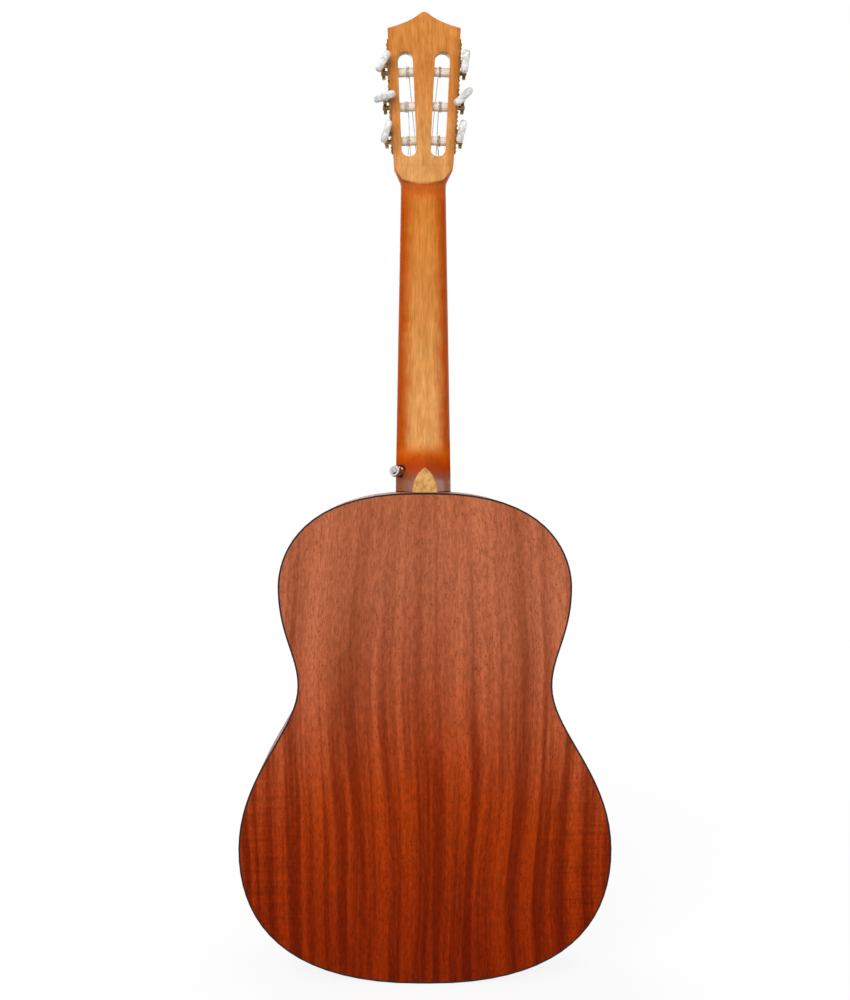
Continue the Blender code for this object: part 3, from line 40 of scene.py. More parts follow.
# Drawn flat on the bench: x to the treble side, y from tail to head, z out of the soundboard
guitar = {
    "glue": 0.0003, "front": 0.0485, "bodyLength": 0.491, "backDrop": 0.0485, "backRise": 0.005,
    "nutAt": 0.8185, "saddleAt": 0.1615, "scale": 0.655, "fretboardTop": 0.0548,
    "holeAt": 0.33308, "rosette": (0.0475, 0.0625), "bodyHalf": 0.030, "nutHalf": 0.0245,
    "headAt": 0.8243, "headTilt": math.radians(12),
}
headShape = {
    "flare": 0.0145, "flareHalf": 0.03175, "shoulder": 0.1577, "shoulderHalf": 0.03825, "crest": 0.0160,
    "crestShares": ((1, 0), (0.66, 0.22), (0.36, 0.44), (0.095, 0.93)), "crestTip": (0.0018, 0.985),
    "crestSteps": 18, "thickness": 0.018, "slabStart": 0.0188, "slabEase": 0.0005,
    "slotStart": 0.0278, "slotEnd": 0.1338, "slotWidth": 0.016, "slotCut": (-0.03, 0.01), "rail": 0.0093,
    "rampLength": 0.020, "rampDepth": 0.006, "rampWidth": 0.011, "rampEase": 0.0015, "rampLift": 0.0006,
    "veneer": 0.002, "veneerEase": 0.0004,
}
headTaper = math.atan2(
    headShape["shoulderHalf"] - headShape["flareHalf"], headShape["shoulder"] - headShape["flare"]
)
quarter = math.pi / 2
sides = (1, -1)  # treble, bass


def moved(x=0, y=0, z=0):
    return Matrix.Translation((x, y, z))


def spun(angle, axis):
    return Matrix.Rotation(angle, 4, axis)


standUp = spun(quarter, "X")
headSeat = standUp @ moved(0, guitar["headAt"], guitar["front"]) @ spun(-guitar["headTilt"], "X")
# Turns an outline drawn in x and y into one in y and z, raised along x
alongX = Matrix(((0, 0, 1, 0), (1, 0, 0, 0), (0, 1, 0, 0), (0, 0, 0, 1)))


# Points and shares

def arc(steps, start=0, end=math.pi):
    return [start + (end - start) * index / steps for index in range(steps + 1)]


def between(share, start, end):
    return start + (end - start) * share


def smoothStep(low, high, value):
    share = min(1, max(0, (value - low) / (high - low)))
    return share * share * (3 - 2 * share)


def mirrored(points, skip=1):
    return points + [(-point[0], *point[1:]) for point in points[::-1][skip:]]


def oblong(half, near, far):
    return ((-half, near), (half, near), (half, far), (-half, far))


def steps(points):
    return [math.dist(first, second) for first, second in zip(points, points[1:])]


# Mesh work

weld = 0.000002


def takeUp(piece):
    if bpy.context.object is not None and bpy.context.object.mode != "OBJECT":
        bpy.ops.object.mode_set(mode="OBJECT")
    bpy.ops.object.select_all(action="DESELECT")
    piece.select_set(True)
    bpy.context.view_layer.objects.active = piece


def named(name):
    piece = bpy.context.object
    piece.name = name
    piece.data.name = name
    return piece


def openMesh(piece):
    takeUp(piece)
    bpy.ops.object.mode_set(mode="EDIT")
    bpy.ops.mesh.select_mode(type="VERT")
    bpy.ops.mesh.select_all(action="SELECT")


def closeMesh(piece):
    bpy.ops.mesh.select_all(action="SELECT")
    bpy.ops.mesh.remove_doubles(threshold=weld)
    bpy.ops.mesh.normals_make_consistent(inside=False)
    bpy.ops.object.mode_set(mode="OBJECT")
    return piece


def drawn(name, points):
    bpy.ops.mesh.primitive_circle_add(vertices=len(points), fill_type="NGON")
    piece = named(name)
    for vertex, point in zip(piece.data.vertices, points):
        vertex.co = (point[0], point[1], 0)
    return piece


def thickened(piece, height):
    openMesh(piece)
    bpy.ops.mesh.extrude_region_move(TRANSFORM_OT_translate={"value": (0, 0, height)})
    return closeMesh(piece)


def raised(piece, low, high):
    for vertex in piece.data.vertices:
        vertex.co.z = low
    return thickened(piece, high - low)


def lofted(name, rings):
    columns = len(rings[0])
    bpy.ops.mesh.primitive_grid_add(x_subdivisions=columns, y_subdivisions=len(rings) - 1)
    piece = named(name)
    for index, vertex in enumerate(piece.data.vertices):
        row, column = divmod(index, columns + 1)
        vertex.co = rings[row][column % columns]
    openMesh(piece)
    bpy.ops.mesh.remove_doubles(threshold=weld)
    bpy.ops.mesh.select_all(action="SELECT")
    bpy.ops.mesh.fill_holes(sides=0)
    return closeMesh(piece)


def turned(name, profile, count):
    turns = arc(count, 0, 2 * math.pi)[:-1]
    return lofted(name, [
        [(radius * math.cos(turn), radius * math.sin(turn), height) for turn in turns]
        for radius, height in profile
    ])


def rod(radius, low, high, count):
    return turned("rod_tool", ((radius, low), (radius, high)), count)


def seated(piece, matrix):
    takeUp(piece)
    piece.matrix_world = matrix
    bpy.ops.object.transform_apply(location=True, rotation=True, scale=True)
    return piece


def copied(piece, name, matrix):
    takeUp(piece)
    bpy.ops.object.duplicate()
    return seated(named(name), matrix)


def removed(*pieces):
    for piece in pieces:
        takeUp(piece)
        bpy.ops.object.delete()


def worked(piece, kind, **settings):
    step = piece.modifiers.new("step", kind)
    for key, value in settings.items():
        setattr(step, key, value)
    takeUp(piece)
    bpy.ops.object.modifier_apply(modifier=step.name)
    return piece


def carved(piece, tool, operation="DIFFERENCE"):
    worked(piece, "BOOLEAN", object=tool, operation=operation, solver="EXACT")
    removed(tool)
    return piece


def eased(piece, width, segments=2, degrees=50):
    limit = math.radians(degrees)
    return worked(piece, "BEVEL", width=width, segments=segments, limit_method="ANGLE", angle_limit=limit)


def smoothed(piece, degrees=30):
    takeUp(piece)
    bpy.ops.object.shade_smooth_by_angle(angle=math.radians(degrees))
    return piece


def joined(name, pieces):
    takeUp(pieces[0])
    for piece in pieces:
        piece.select_set(True)
    bpy.ops.object.join()
    return named(name)


def dressed(piece, slotName, *nodes, body="root", finish=None):
    piece.data.materials.clear()
    piece.data.materials.append(finishes[finish or slotName])
    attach(piece, body)
    if nodes:
        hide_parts(*nodes)
    return piece


# Node work

def fed(node, feeds):
    for socket, source in feeds.items():
        if isinstance(source, bpy.types.NodeSocket):
            node.id_data.links.new(source, node.inputs[socket])
        else:
            node.inputs[socket].default_value = source


def put(tree, kind, feeds, **settings):
    node = tree.nodes.new(kind)
    for key, value in settings.items():
        setattr(node, key, value)
    fed(node, feeds)
    return node


def flow(kind, feeds, outlet=0, **settings):
    source = next(value for value in feeds.values() if isinstance(value, bpy.types.NodeSocket))
    return put(source.id_data, kind, feeds, **settings).outputs[outlet]


def calc(operation, *values):
    return flow("ShaderNodeMath", dict(enumerate(values)), operation=operation)


def plus(first, second):
    return calc("ADD", first, second)


def minus(first, second):
    return calc("SUBTRACT", first, second)


def times(first, second):
    return calc("MULTIPLY", first, second)


def over(first, second):
    return calc("DIVIDE", first, second)


def unsigned(value):
    return calc("ABSOLUTE", value)


def vectored(operation, *values):
    return flow("ShaderNodeVectorMath", dict(enumerate(values)), operation=operation)


def stretched(vector, factors):
    return vectored("MULTIPLY", vector, factors)


def mixed(share, first, second, mode="MIX"):
    feeds = {0: share, 6: first, 7: second}
    return flow("ShaderNodeMix", feeds, 2, data_type="RGBA", blend_type=mode)


def ranged(value, low, high, outLow=0.0, outHigh=1.0, kind="SMOOTHSTEP"):
    feeds = {"Value": value, "From Min": low, "From Max": high, "To Min": outLow, "To Max": outHigh}
    return flow("ShaderNodeMapRange", feeds, interpolation_type=kind, clamp=True)


def noised(vector, scale, detail=2.0, roughness=0.5):
    feeds = {"Vector": vector, "Scale": scale, "Detail": detail, "Roughness": roughness}
    return flow("ShaderNodeTexNoise", feeds)


def split(vector):
    return put(vector.id_data, "ShaderNodeSeparateXYZ", {0: vector}).outputs


def stepped(value, first, stops):
    node = put(value.id_data, "ShaderNodeValToRGB", {0: value})
    ramp = node.color_ramp
    ramp.interpolation = "CONSTANT"
    ramp.elements.remove(ramp.elements[1])
    ramp.elements[0].color = first
    for position, colour in stops:
        ramp.elements.new(position).color = colour
    return node.outputs[0]


def newFinish(name, values):
    made = bpy.data.materials.new(name)
    made.use_nodes = True
    shader = made.node_tree.nodes["Principled BSDF"]
    fed(shader, values)
    made.diffuse_color = shader.inputs["Base Color"].default_value[:]
    place = put(made.node_tree, "ShaderNodeTexCoord", {}).outputs["Object"]
    return made, shader, place


def bumped(shader, height, strength, distance=0.0002):
    feeds = {"Height": height, "Strength": strength, "Distance": distance}
    fed(shader, {"Normal": flow("ShaderNodeBump", feeds)})


# Finishes

def makeWoodGroup():
    # Grain for every wood: figure, fibre and pores, drawn out along z
    look = {
        "figure": (0.34, 0.66), "fibre": (7.0, 7.0, 3.0), "fibreRange": (0.25, 0.75, -1.0, 1.0),
        "pore": (13.0, 13.0, 7.0), "poreRange": (0.60, 0.70), "poreDepth": 0.5,
    }
    tree = bpy.data.node_groups.new("woodTone", "ShaderNodeTree")
    for way, kind, labels in (
        ("INPUT", "NodeSocketVector", ("Vector",)),
        ("INPUT", "NodeSocketColor", ("Dark", "Light", "Pore")),
        ("INPUT", "NodeSocketFloat", ("Across", "Along", "Pores", "Fibre")),
        ("OUTPUT", "NodeSocketColor", ("Colour",)),
        ("OUTPUT", "NodeSocketFloat", ("Height",)),
    ):
        for label in labels:
            tree.interface.new_socket(name=label, in_out=way, socket_type=kind)
    given = tree.nodes.new("NodeGroupInput").outputs
    scale = flow("ShaderNodeCombineXYZ", {0: given["Across"], 1: given["Across"], 2: given["Along"]})
    place = stretched(given["Vector"], scale)
    figure = ranged(noised(place, 1.0, 3.0, 0.55), *look["figure"])
    fibre = noised(stretched(place, look["fibre"]), 1.0)
    pore = ranged(noised(stretched(place, look["pore"]), 1.0, 1.0), *look["poreRange"])
    tone = mixed(figure, given["Dark"], given["Light"])
    shade = plus(times(ranged(fibre, *look["fibreRange"]), given["Fibre"]), 1.0)
    filled = mixed(times(pore, given["Pores"]), stretched(tone, shade), given["Pore"])
    height = minus(fibre, times(pore, look["poreDepth"]))
    put(tree, "NodeGroupOutput", {"Colour": filled, "Height": height})
    return tree


woodTone = makeWoodGroup()


def grained(vector, feeds):
    return put(vector.id_data, "ShaderNodeGroup", {"Vector": vector, **feeds}, node_tree=woodTone).outputs


def makeWood(name, look):
    tones = {label: (*look[label.lower()], 1) for label in ("Dark", "Light", "Pore")}
    made, shader, place = newFinish(name, {
        "Base Color": tones["Light"], "Roughness": look["roughness"],
        "Specular IOR Level": look.get("specular", 0.5),
    })
    if "turn" in look:
        place = flow("ShaderNodeMapping", {"Vector": place, "Rotation": look["turn"]})
    grain = grained(place, {
        **tones, "Across": look["across"], "Along": look["along"], "Pores": look["pores"],
        "Fibre": look.get("fibre", 0.2),
    })
    fed(shader, {"Base Color": grain["Colour"]})
    bumped(shader, grain["Height"], look["bump"])
    return made


def makeRibbon(name, onRim):
    # Red-brown wood that darkens to the tail, its lower tones set a little dark as painted shade, and pales
    # towards the top and the outer edges as a painted sheen
    # Its ribbons stand upright and bulge at the waist, or run along the bent rim
    look = {
        # Tail and middle are set a little dark as painted shade; shoulder is a painted sheen
        "tail": (0.210, 0.0152, 0.0002, 1), "middle": (0.280, 0.0283, 0.0014, 1),
        "shoulder": (0.376, 0.102, 0.0430, 1), "middleFade": (0.03, 0.22), "sheenFade": (0.18, 0.44),
        "sheenLean": 0.3,
        "dark": (0.66, 0.54, 0.42, 1), "light": (1.32, 1.46, 1.60, 1), "pore": (0.46, 0.36, 0.30, 1),
        "waist": 0.28, "spread": 0.14, "bulge": 0.20, "bulgeLeft": 0.04, "bulgeFade": (0.05, 0.17),
        "drift": 0.022, "drawnOut": 0.014, "ribbons": 84.0, "wave": 0.16,
        "contrast": (0.18, 0.43, 1.22, 0.34),
        "curl": (22.5, 22.5, 270.0), "curlAside": (0.09, 0.17), "curlUp": (0.27, 0.15), "curlShare": 0.9,
    }
    if onRim:
        # On the rim, darker and greyer tail and middle tones are painted shade
        look.update(tail=(0.190, 0.030, 0.0070, 1), middle=(0.245, 0.046, 0.0130, 1), curlShare=0.3)
    made, shader, place = newFinish(name, {
        "Base Color": (0.30, 0.05, 0.015, 1), "Roughness": 0.34, "Specular IOR Level": 0.05,
    })
    x, y, z = split(place)
    aside = unsigned(x)
    drift = times(minus(noised(place, 5.0, 1.0), 0.5), look["drift"])
    length = times(z, look["drawnOut"])
    if onRim:
        length = plus(times(x, look["drawnOut"]), length)
        line = flow("ShaderNodeCombineXYZ", {0: plus(y, drift), 2: length})
    else:
        reach = over(minus(z, look["waist"]), look["spread"])
        swell = calc("EXPONENT", times(times(reach, reach), -1.0))
        swell = times(swell, ranged(aside, *look["bulgeFade"], look["bulge"], look["bulgeLeft"]))
        across = plus(over(x, plus(swell, 1.0)), drift)
        line = flow("ShaderNodeCombineXYZ", {0: across, 1: y, 2: length})
    lower = mixed(ranged(z, *look["middleFade"]), look["tail"], look["middle"])
    # Painted sheen: the shoulder tone pales the wood towards the top and a little towards the edges
    paintedSheen = ranged(plus(times(aside, look["sheenLean"]), z), *look["sheenFade"])
    mean = mixed(paintedSheen, lower, look["shoulder"])
    wave = minus(noised(line, look["ribbons"], 3.0, 0.6), 0.5)
    ribbon = ranged(times(wave, ranged(z, *look["contrast"])), -look["wave"], look["wave"])
    tone = mixed(1.0, mean, mixed(ribbon, look["dark"], look["light"]), "MULTIPLY")
    fine = grained(line, {
        "Dark": tone, "Light": tone, "Pore": mixed(1.0, mean, look["pore"], "MULTIPLY"),
        "Across": 75.0, "Along": 3000.0, "Pores": 0.6, "Fibre": 0.2,
    })
    curl = minus(noised(stretched(place, look["curl"]), 1.0), 0.5)
    edge = times(ranged(aside, *look["curlAside"]), ranged(z, *look["curlUp"], 0.0, look["curlShare"]))
    fed(shader, {"Base Color": stretched(fine["Colour"], plus(times(edge, curl), 1.0))})
    bumped(shader, fine["Height"], 0.06)
    return made


def makeBurst():
    # Amber wood whose lacquer deepens up the neck, at its edges and over the heel, with a painted shade in
    # the scoop under the head and a painted greyish sheen on the heel's lower flanks
    look = {
        "darkLow": (0.610, 0.271, 0.076, 1), "darkHigh": (0.480, 0.150, 0.0200, 1),
        "lightLow": (0.710, 0.342, 0.113, 1), "lightHigh": (0.565, 0.192, 0.0290, 1),
        "pore": (0.440, 0.140, 0.020, 1), "flatten": (1.0, 0.12, 1.0),
        "neckDeepens": (0.53, 0.82), "headFrom": (0.8135, 0.8265), "headDeepens": (0.01, 0.12, 0.05, 0.70),
        "edge": (0.430, 0.064, 0.0005, 1), "edgeFade": (0.32, 0.90), "edgeShare": 0.985,
        "railFade": (0.74, 1.06, 0.0, 0.5), "ragged": 0.35,
        "heelTop": (0.600, 0.115, 0.003, 1), "heelDeep": (0.440, 0.044, 0.0005, 1),
        "heelLowSheen": (0.300, 0.094, 0.040, 1), "heelFade": (0.544, 0.528), "heelDeepFade": (0.538, 0.517),
        "heelLowSheenFade": (0.516, 0.504), "heelShare": 0.97, "heelRagged": 0.02,
        "scoop": (0.510, 0.094, 0.011, 1), "scoopFrom": (0.803, 0.8145), "scoopTo": (0.0165, 0.0125),
        "scoopShadeShare": 0.8, "flatAt": 0.01795, "flatFade": (0.0010, 0.0004), "flatFrom": (-0.0002, 0.0006),
        "mottle": (420.0, 420.0, 60.0), "mottleRange": (0.25, 0.75, 0.88, 1.12),
        "satin": 0.34, "dull": 0.85, "dullFrom": (0.500, 0.510), "dullTo": (0.550, 0.538),
    }
    made, shader, place = newFinish("neckMahogany", {
        "Base Color": (0.61, 0.23, 0.04, 1), "Roughness": look["satin"], "Specular IOR Level": 0.03,
    })
    x, y, z = split(place)
    aside = unsigned(x)
    # Places on the head: along it from the nut, and out of its front face
    rise = minus(z, guitar["headAt"])
    sunk = minus(times(y, -1.0), guitar["front"])
    sine = math.sin(guitar["headTilt"])
    cosine = math.cos(guitar["headTilt"])
    along = minus(times(rise, cosine), times(sunk, sine))
    lift = plus(times(rise, sine), times(sunk, cosine))
    head = ranged(z, *look["headFrom"])
    flat = ranged(unsigned(plus(lift, look["flatAt"])), *look["flatFade"])
    flat = times(flat, ranged(along, *look["flatFrom"]))
    scoop = times(ranged(z, *look["scoopFrom"]), ranged(along, *look["scoopTo"]))
    scoop = times(scoop, minus(1.0, flat))
    deep = flow("ShaderNodeMix", {
        0: head, 2: ranged(z, *look["neckDeepens"]), 3: ranged(along, *look["headDeepens"]),
    })
    grain = grained(stretched(place, look["flatten"]), {
        "Dark": mixed(deep, look["darkLow"], look["darkHigh"]),
        "Light": mixed(deep, look["lightLow"], look["lightHigh"]),
        "Pore": look["pore"], "Across": 150.0, "Along": 20.0, "Pores": 0.22, "Fibre": 0.11,
    })
    ragged = times(minus(noised(place, 60.0, 3.0), 0.5), look["ragged"])
    span = (guitar["bodyLength"], guitar["nutAt"], guitar["bodyHalf"], guitar["nutHalf"])
    neckEdge = ranged(plus(over(aside, ranged(z, *span, "LINEAR")), ragged), *look["edgeFade"])
    neckEdge = times(neckEdge, minus(look["edgeShare"], times(head, look["edgeShare"])))
    wide = plus(times(along, math.tan(headTaper)), headShape["flareHalf"])
    rail = ranged(plus(over(aside, wide), ragged), *look["railFade"])
    burst = mixed(plus(times(rail, head), neckEdge), grain["Colour"], look["edge"])
    heel = ranged(plus(times(ragged, look["heelRagged"]), z), *look["heelFade"])
    heelToneAndSheen = mixed(ranged(z, *look["heelDeepFade"]), look["heelTop"], look["heelDeep"])
    # Painted sheen: a greyish tone on the heel's lower flanks stands in for reflected haze
    heelToneAndSheen = mixed(ranged(z, *look["heelLowSheenFade"]), heelToneAndSheen, look["heelLowSheen"])
    heeled = mixed(times(heel, look["heelShare"]), burst, heelToneAndSheen)
    # Painted shade: the scoop tone darkens the hollow under the head
    scoopShaded = mixed(times(scoop, look["scoopShadeShare"]), heeled, look["scoop"])
    mottle = ranged(noised(stretched(place, look["mottle"]), 1.0, 3.0), *look["mottleRange"])
    # The heel's deep lacquer is duller than the rest
    dull = times(ranged(z, *look["dullFrom"]), ranged(z, *look["dullTo"]))
    roughness = ranged(dull, 0.0, 1.0, look["satin"], look["dull"])
    fed(shader, {"Base Color": stretched(scoopShaded, mottle), "Roughness": roughness})
    bumped(shader, grain["Height"], 0.05)
    return made


def makeRosetteFinish():
    # Pale and black lines on either side of a band of small tiles
    look = {
        "tiles": 110.0, "rows": 5.0, "tileBand": (0.28, 0.72), "repeat": 6.0,
        "straw": (0.55, 0.33, 0.12, 1), "red": (0.22, 0.045, 0.020, 1), "ebony": (0.018, 0.012, 0.010, 1),
        "pale": (0.62, 0.42, 0.18, 1), "black": (0.012, 0.010, 0.009, 1),
        "paleLines": ((0.06, 0.12), (0.18, 0.22), (0.78, 0.82), (0.88, 0.94)),
    }
    made, shader, place = newFinish("rosetteInlay", {"Base Color": (0.2, 0.09, 0.04, 1), "Roughness": 0.3})
    x, _, z = split(place)
    up = minus(z, guitar["holeAt"])
    far = calc("SQRT", plus(times(x, x), times(up, up)))
    band = ranged(far, *guitar["rosette"], kind="LINEAR")
    low, high = look["tileBand"]
    turn = times(calc("ARCTAN2", up, x), look["tiles"] / (2 * math.pi))
    across = times(minus(band, low), look["rows"] / (high - low))
    tile = plus(calc("FLOOR", turn), calc("FLOOR", across))
    wedge = unsigned(minus(calc("FLOORED_MODULO", tile, look["repeat"]), (look["repeat"] - 1) / 2))
    stops = ((0.33, look["red"]), (0.66, look["ebony"]))
    tiles = stepped(over(wedge, look["repeat"] / 2), look["straw"], stops)
    stops = [
        (edge, look[tone]) for ends in look["paleLines"] for edge, tone in zip(ends, ("pale", "black"))
    ]
    lines = stepped(band, look["black"], stops)
    inside = times(calc("GREATER_THAN", band, low), calc("LESS_THAN", band, high))
    fed(shader, {"Base Color": mixed(inside, lines, tiles)})
    return made


def makeCloudy(name, dark, light, scale, values, worn=None):
    # Soft clouds between two tones, and a roughness that follows them where the surface is worn
    made, shader, place = newFinish(name, {"Base Color": (*light, 1), **values})
    warp = times(noised(place, scale * 0.6), 1.5 / scale)
    cloud = ranged(noised(vectored("ADD", place, warp), scale, 4.0, 0.6), 0.36, 0.64)
    fed(shader, {"Base Color": mixed(cloud, (*dark, 1), (*light, 1))})
    if worn:
        fed(shader, {"Roughness": ranged(cloud, 0.0, 1.0, *worn)})
    return made


def makeWound():
    # Wire wound on a core: fine rings along the string
    made, shader, place = newFinish("woundSilver", {
        "Base Color": (0.52, 0.50, 0.46, 1), "Metallic": 1.0, "Roughness": 0.36,
    })
    ring = flow("ShaderNodeTexWave", {"Vector": place, "Scale": 900.0}, 1, bands_direction="Z")
    bumped(shader, ring, 0.35, 0.00008)
    return made


# Each under the name of its slot, but rim and bridge, which are second looks of a slot
finishes = {
    "ribbon_mahogany": makeRibbon("ribbonMahogany", False),
    "rim": makeRibbon("shadedRimMahogany", True),
    "neck_mahogany": makeBurst(),
    "rosette_inlay": makeRosetteFinish(),
    "wound_silver": makeWound(),
    "spruce_top": makeWood("spruceTop", {
        "dark": (0.585, 0.345, 0.130), "light": (0.690, 0.440, 0.190), "pore": (0.52, 0.29, 0.10),
        "across": 560.0, "along": 2.0, "pores": 0.2, "fibre": 0.09, "roughness": 0.30, "bump": 0.04,
    }),
    "bare_spruce": makeWood("bareSpruce", {
        "dark": (0.46, 0.30, 0.14), "light": (0.62, 0.44, 0.24), "pore": (0.36, 0.22, 0.10),
        "across": 300.0, "along": 3.0, "pores": 0.25, "roughness": 0.65, "bump": 0.12,
    }),
    "rosewood": makeWood("rosewood", {
        "dark": (0.022, 0.010, 0.006), "light": (0.085, 0.036, 0.019), "pore": (0.010, 0.006, 0.004),
        "across": 190.0, "along": 5.0, "pores": 0.6, "roughness": 0.42, "bump": 0.16, "specular": 0.25,
    }),
    "bridge": makeWood("bridgeRosewood", {
        "dark": (0.026, 0.011, 0.006), "light": (0.100, 0.042, 0.022), "pore": (0.010, 0.006, 0.004),
        "across": 210.0, "along": 6.0, "pores": 0.6, "roughness": 0.42, "bump": 0.16, "specular": 0.25,
        "turn": (0.0, quarter, 0.0),
    }),
    "heel_cap_wood": makeWood("heelCapWood", {
        "dark": (0.47, 0.215, 0.060), "light": (0.68, 0.370, 0.125), "pore": (0.30, 0.115, 0.028),
        "across": 270.0, "along": 150.0, "pores": 0.55, "roughness": 0.34, "bump": 0.05, "specular": 0.2,
    }),
    "bone": makeCloudy("bone", (0.66, 0.58, 0.42), (0.80, 0.74, 0.60), 90.0, {"Roughness": 0.32}),
    "black_binding": makeCloudy("blackBinding", (0.010, 0.0075, 0.0065), (0.015, 0.011, 0.010), 160.0, {
        "Roughness": 0.30, "Specular IOR Level": 0.3,
    }),
    "pearl_buttons": makeCloudy("pearlButtons", (0.49, 0.485, 0.47), (0.84, 0.83, 0.80), 190.0, {
        "Roughness": 0.22, "Coat Weight": 0.5, "Coat Roughness": 0.08,
    }),
    "cream_rollers": makeCloudy("creamRollers", (0.72, 0.62, 0.50), (0.83, 0.75, 0.64), 120.0, {
        "Roughness": 0.30,
    }),
    "tuner_brass": makeCloudy("tunerBrass", (0.22, 0.128, 0.050), (0.50, 0.325, 0.130), 260.0, {
        "Metallic": 1.0, "Roughness": 0.34,
    }, (0.46, 0.28)),
    "chrome": makeCloudy("chrome", (0.57, 0.57, 0.58), (0.66, 0.66, 0.67), 420.0, {
        "Metallic": 1.0, "Roughness": 0.16,
    }),
    "black_felt": makeCloudy("blackFelt", (0.008, 0.008, 0.008), (0.026, 0.025, 0.024), 2200.0, {
        "Roughness": 0.95,
    }),
    "clear_nylon": makeCloudy("clearNylon", (0.60, 0.59, 0.55), (0.70, 0.69, 0.65), 240.0, {
        "Roughness": 0.18, "Transmission Weight": 0.4,
    }),
}
print("finishes made:", len(finishes))


# The body

bodyShape = {
    "tail": 0.006, "tailReach": 0.134, "tailStub": 0.002,
    "lower": (0.187, 0.134), "lowerReach": (0.074, 0.075),
    "waist": (0.128, 0.297), "waistReach": (0.045, 0.031),
    "upper": (0.148, 0.397), "upperReach": (0.048, 0.018),
    "neck": 0.011, "neckReach": 0.128, "neckStub": 0.004, "steps": 18, "weld": 0.00001,
}
rim = {
    "thickness": 0.0022, "bindingWidth": 0.0016, "binding": 0.006, "ease": 0.0005,
    "stripHalf": 0.006, "neckHalf": 0.011, "neckFrom": 0.48,
}


def backRim(y):
    return -guitar["backDrop"] + guitar["backRise"] * y / guitar["bodyLength"]


def bodyOutline(name):
    shape = bodyShape
    top = guitar["bodyLength"]
    half = [((shape["tail"], 0), (shape["tailStub"], 0), (shape["tail"] + shape["tailReach"], 0))]
    for bout in ("lower", "waist", "upper"):
        x, y = shape[bout]
        down, up = shape[bout + "Reach"]
        half.append(((x, y), (x, y - down), (x, y + up)))
    half.append(((shape["neck"], top), (shape["neck"] + shape["neckReach"], top), (shape["neckStub"], top)))
    other = [tuple((-x, y) for x, y in (place, after, before)) for place, before, after in reversed(half)]
    bpy.ops.curve.primitive_bezier_curve_add()
    line = named(name)
    line.data.resolution_u = shape["steps"]
    spline = line.data.splines[0]
    spline.bezier_points.add(len(half + other) - 2)
    for point, (place, before, after) in zip(spline.bezier_points, half + other):
        point.handle_left_type = "FREE"
        point.handle_right_type = "FREE"
        point.co = (*place, 0)
        point.handle_left = (*before, 0)
        point.handle_right = (*after, 0)
    spline.use_cyclic_u = True
    bpy.ops.object.convert(target="MESH")
    piece = named(name)
    openMesh(piece)
    bpy.ops.mesh.remove_doubles(threshold=shape["weld"])
    bpy.ops.mesh.select_all(action="SELECT")
    bpy.ops.mesh.edge_face_add()
    return piece


def bodyPlate(name, inset):
    piece = bodyOutline(name)
    bpy.ops.mesh.inset(thickness=inset)
    bpy.ops.mesh.select_all(action="INVERT")
    bpy.ops.mesh.delete(type="VERT")
    bpy.ops.object.mode_set(mode="OBJECT")
    return piece


def keepSide(piece, side):
    openMesh(piece)
    bpy.ops.mesh.select_mode(type="FACE")
    bpy.ops.mesh.select_all(action="DESELECT")
    bpy.ops.object.mode_set(mode="OBJECT")
    for face in piece.data.polygons:
        limit = rim["neckHalf"] if face.center.y > rim["neckFrom"] else rim["stripHalf"]
        face.select = side * face.center.x <= limit
    bpy.ops.object.mode_set(mode="EDIT")
    bpy.ops.mesh.delete(type="FACE")


def bodyBand(name, width, low, high, side=0):
    piece = bodyOutline(name)
    bpy.ops.mesh.inset(thickness=width)
    bpy.ops.mesh.delete(type="ONLY_FACE")
    bpy.ops.object.mode_set(mode="OBJECT")
    if side:
        keepSide(piece, side)
    thickened(piece, 1)
    for vertex in piece.data.vertices:
        vertex.co.z = high(vertex.co.y) if vertex.co.z > 0.5 else low(vertex.co.y)
    return piece


backBoard = {
    "inset": 0.0018, "thickness": 0.0026, "archRadius": 4.5, "archTrim": 0.0012,
    "cut": 0.0125, "cutsAside": 14,
}


def makeBack():
    plate = bodyPlate("back_board", backBoard["inset"])
    edge = sorted((vertex.co.y, abs(vertex.co.x)) for vertex in plate.data.vertices)

    def halfWidth(y):
        for (lowY, lowX), (highY, highX) in zip(edge, edge[1:]):
            if lowY <= y <= highY and highY > lowY:
                return between((y - lowY) / (highY - lowY), lowX, highX)
        return 0

    openMesh(plate)
    cut = backBoard["cut"]
    aside = backBoard["cutsAside"]
    rows = round(guitar["bodyLength"] / cut)
    planes = [((0, index * cut, 0), (0, 1, 0)) for index in range(1, rows)]
    planes += [((index * cut, 0, 0), (1, 0, 0)) for index in range(-aside, aside + 1)]
    for spot, normal in planes:
        bpy.ops.mesh.select_all(action="SELECT")
        bpy.ops.mesh.bisect(plane_co=spot, plane_no=normal)
    bpy.ops.object.mode_set(mode="OBJECT")
    for vertex in plate.data.vertices:
        x, y, _ = vertex.co
        width = halfWidth(y) - backBoard["archTrim"]
        vertex.co.z = backRim(y) - max(0, width ** 2 - x ** 2) / (2 * backBoard["archRadius"])
    thickened(plate, backBoard["thickness"])
    smoothed(seated(plate, standUp), 40)
    dressed(plate, "ribbon_mahogany", "back_plate")


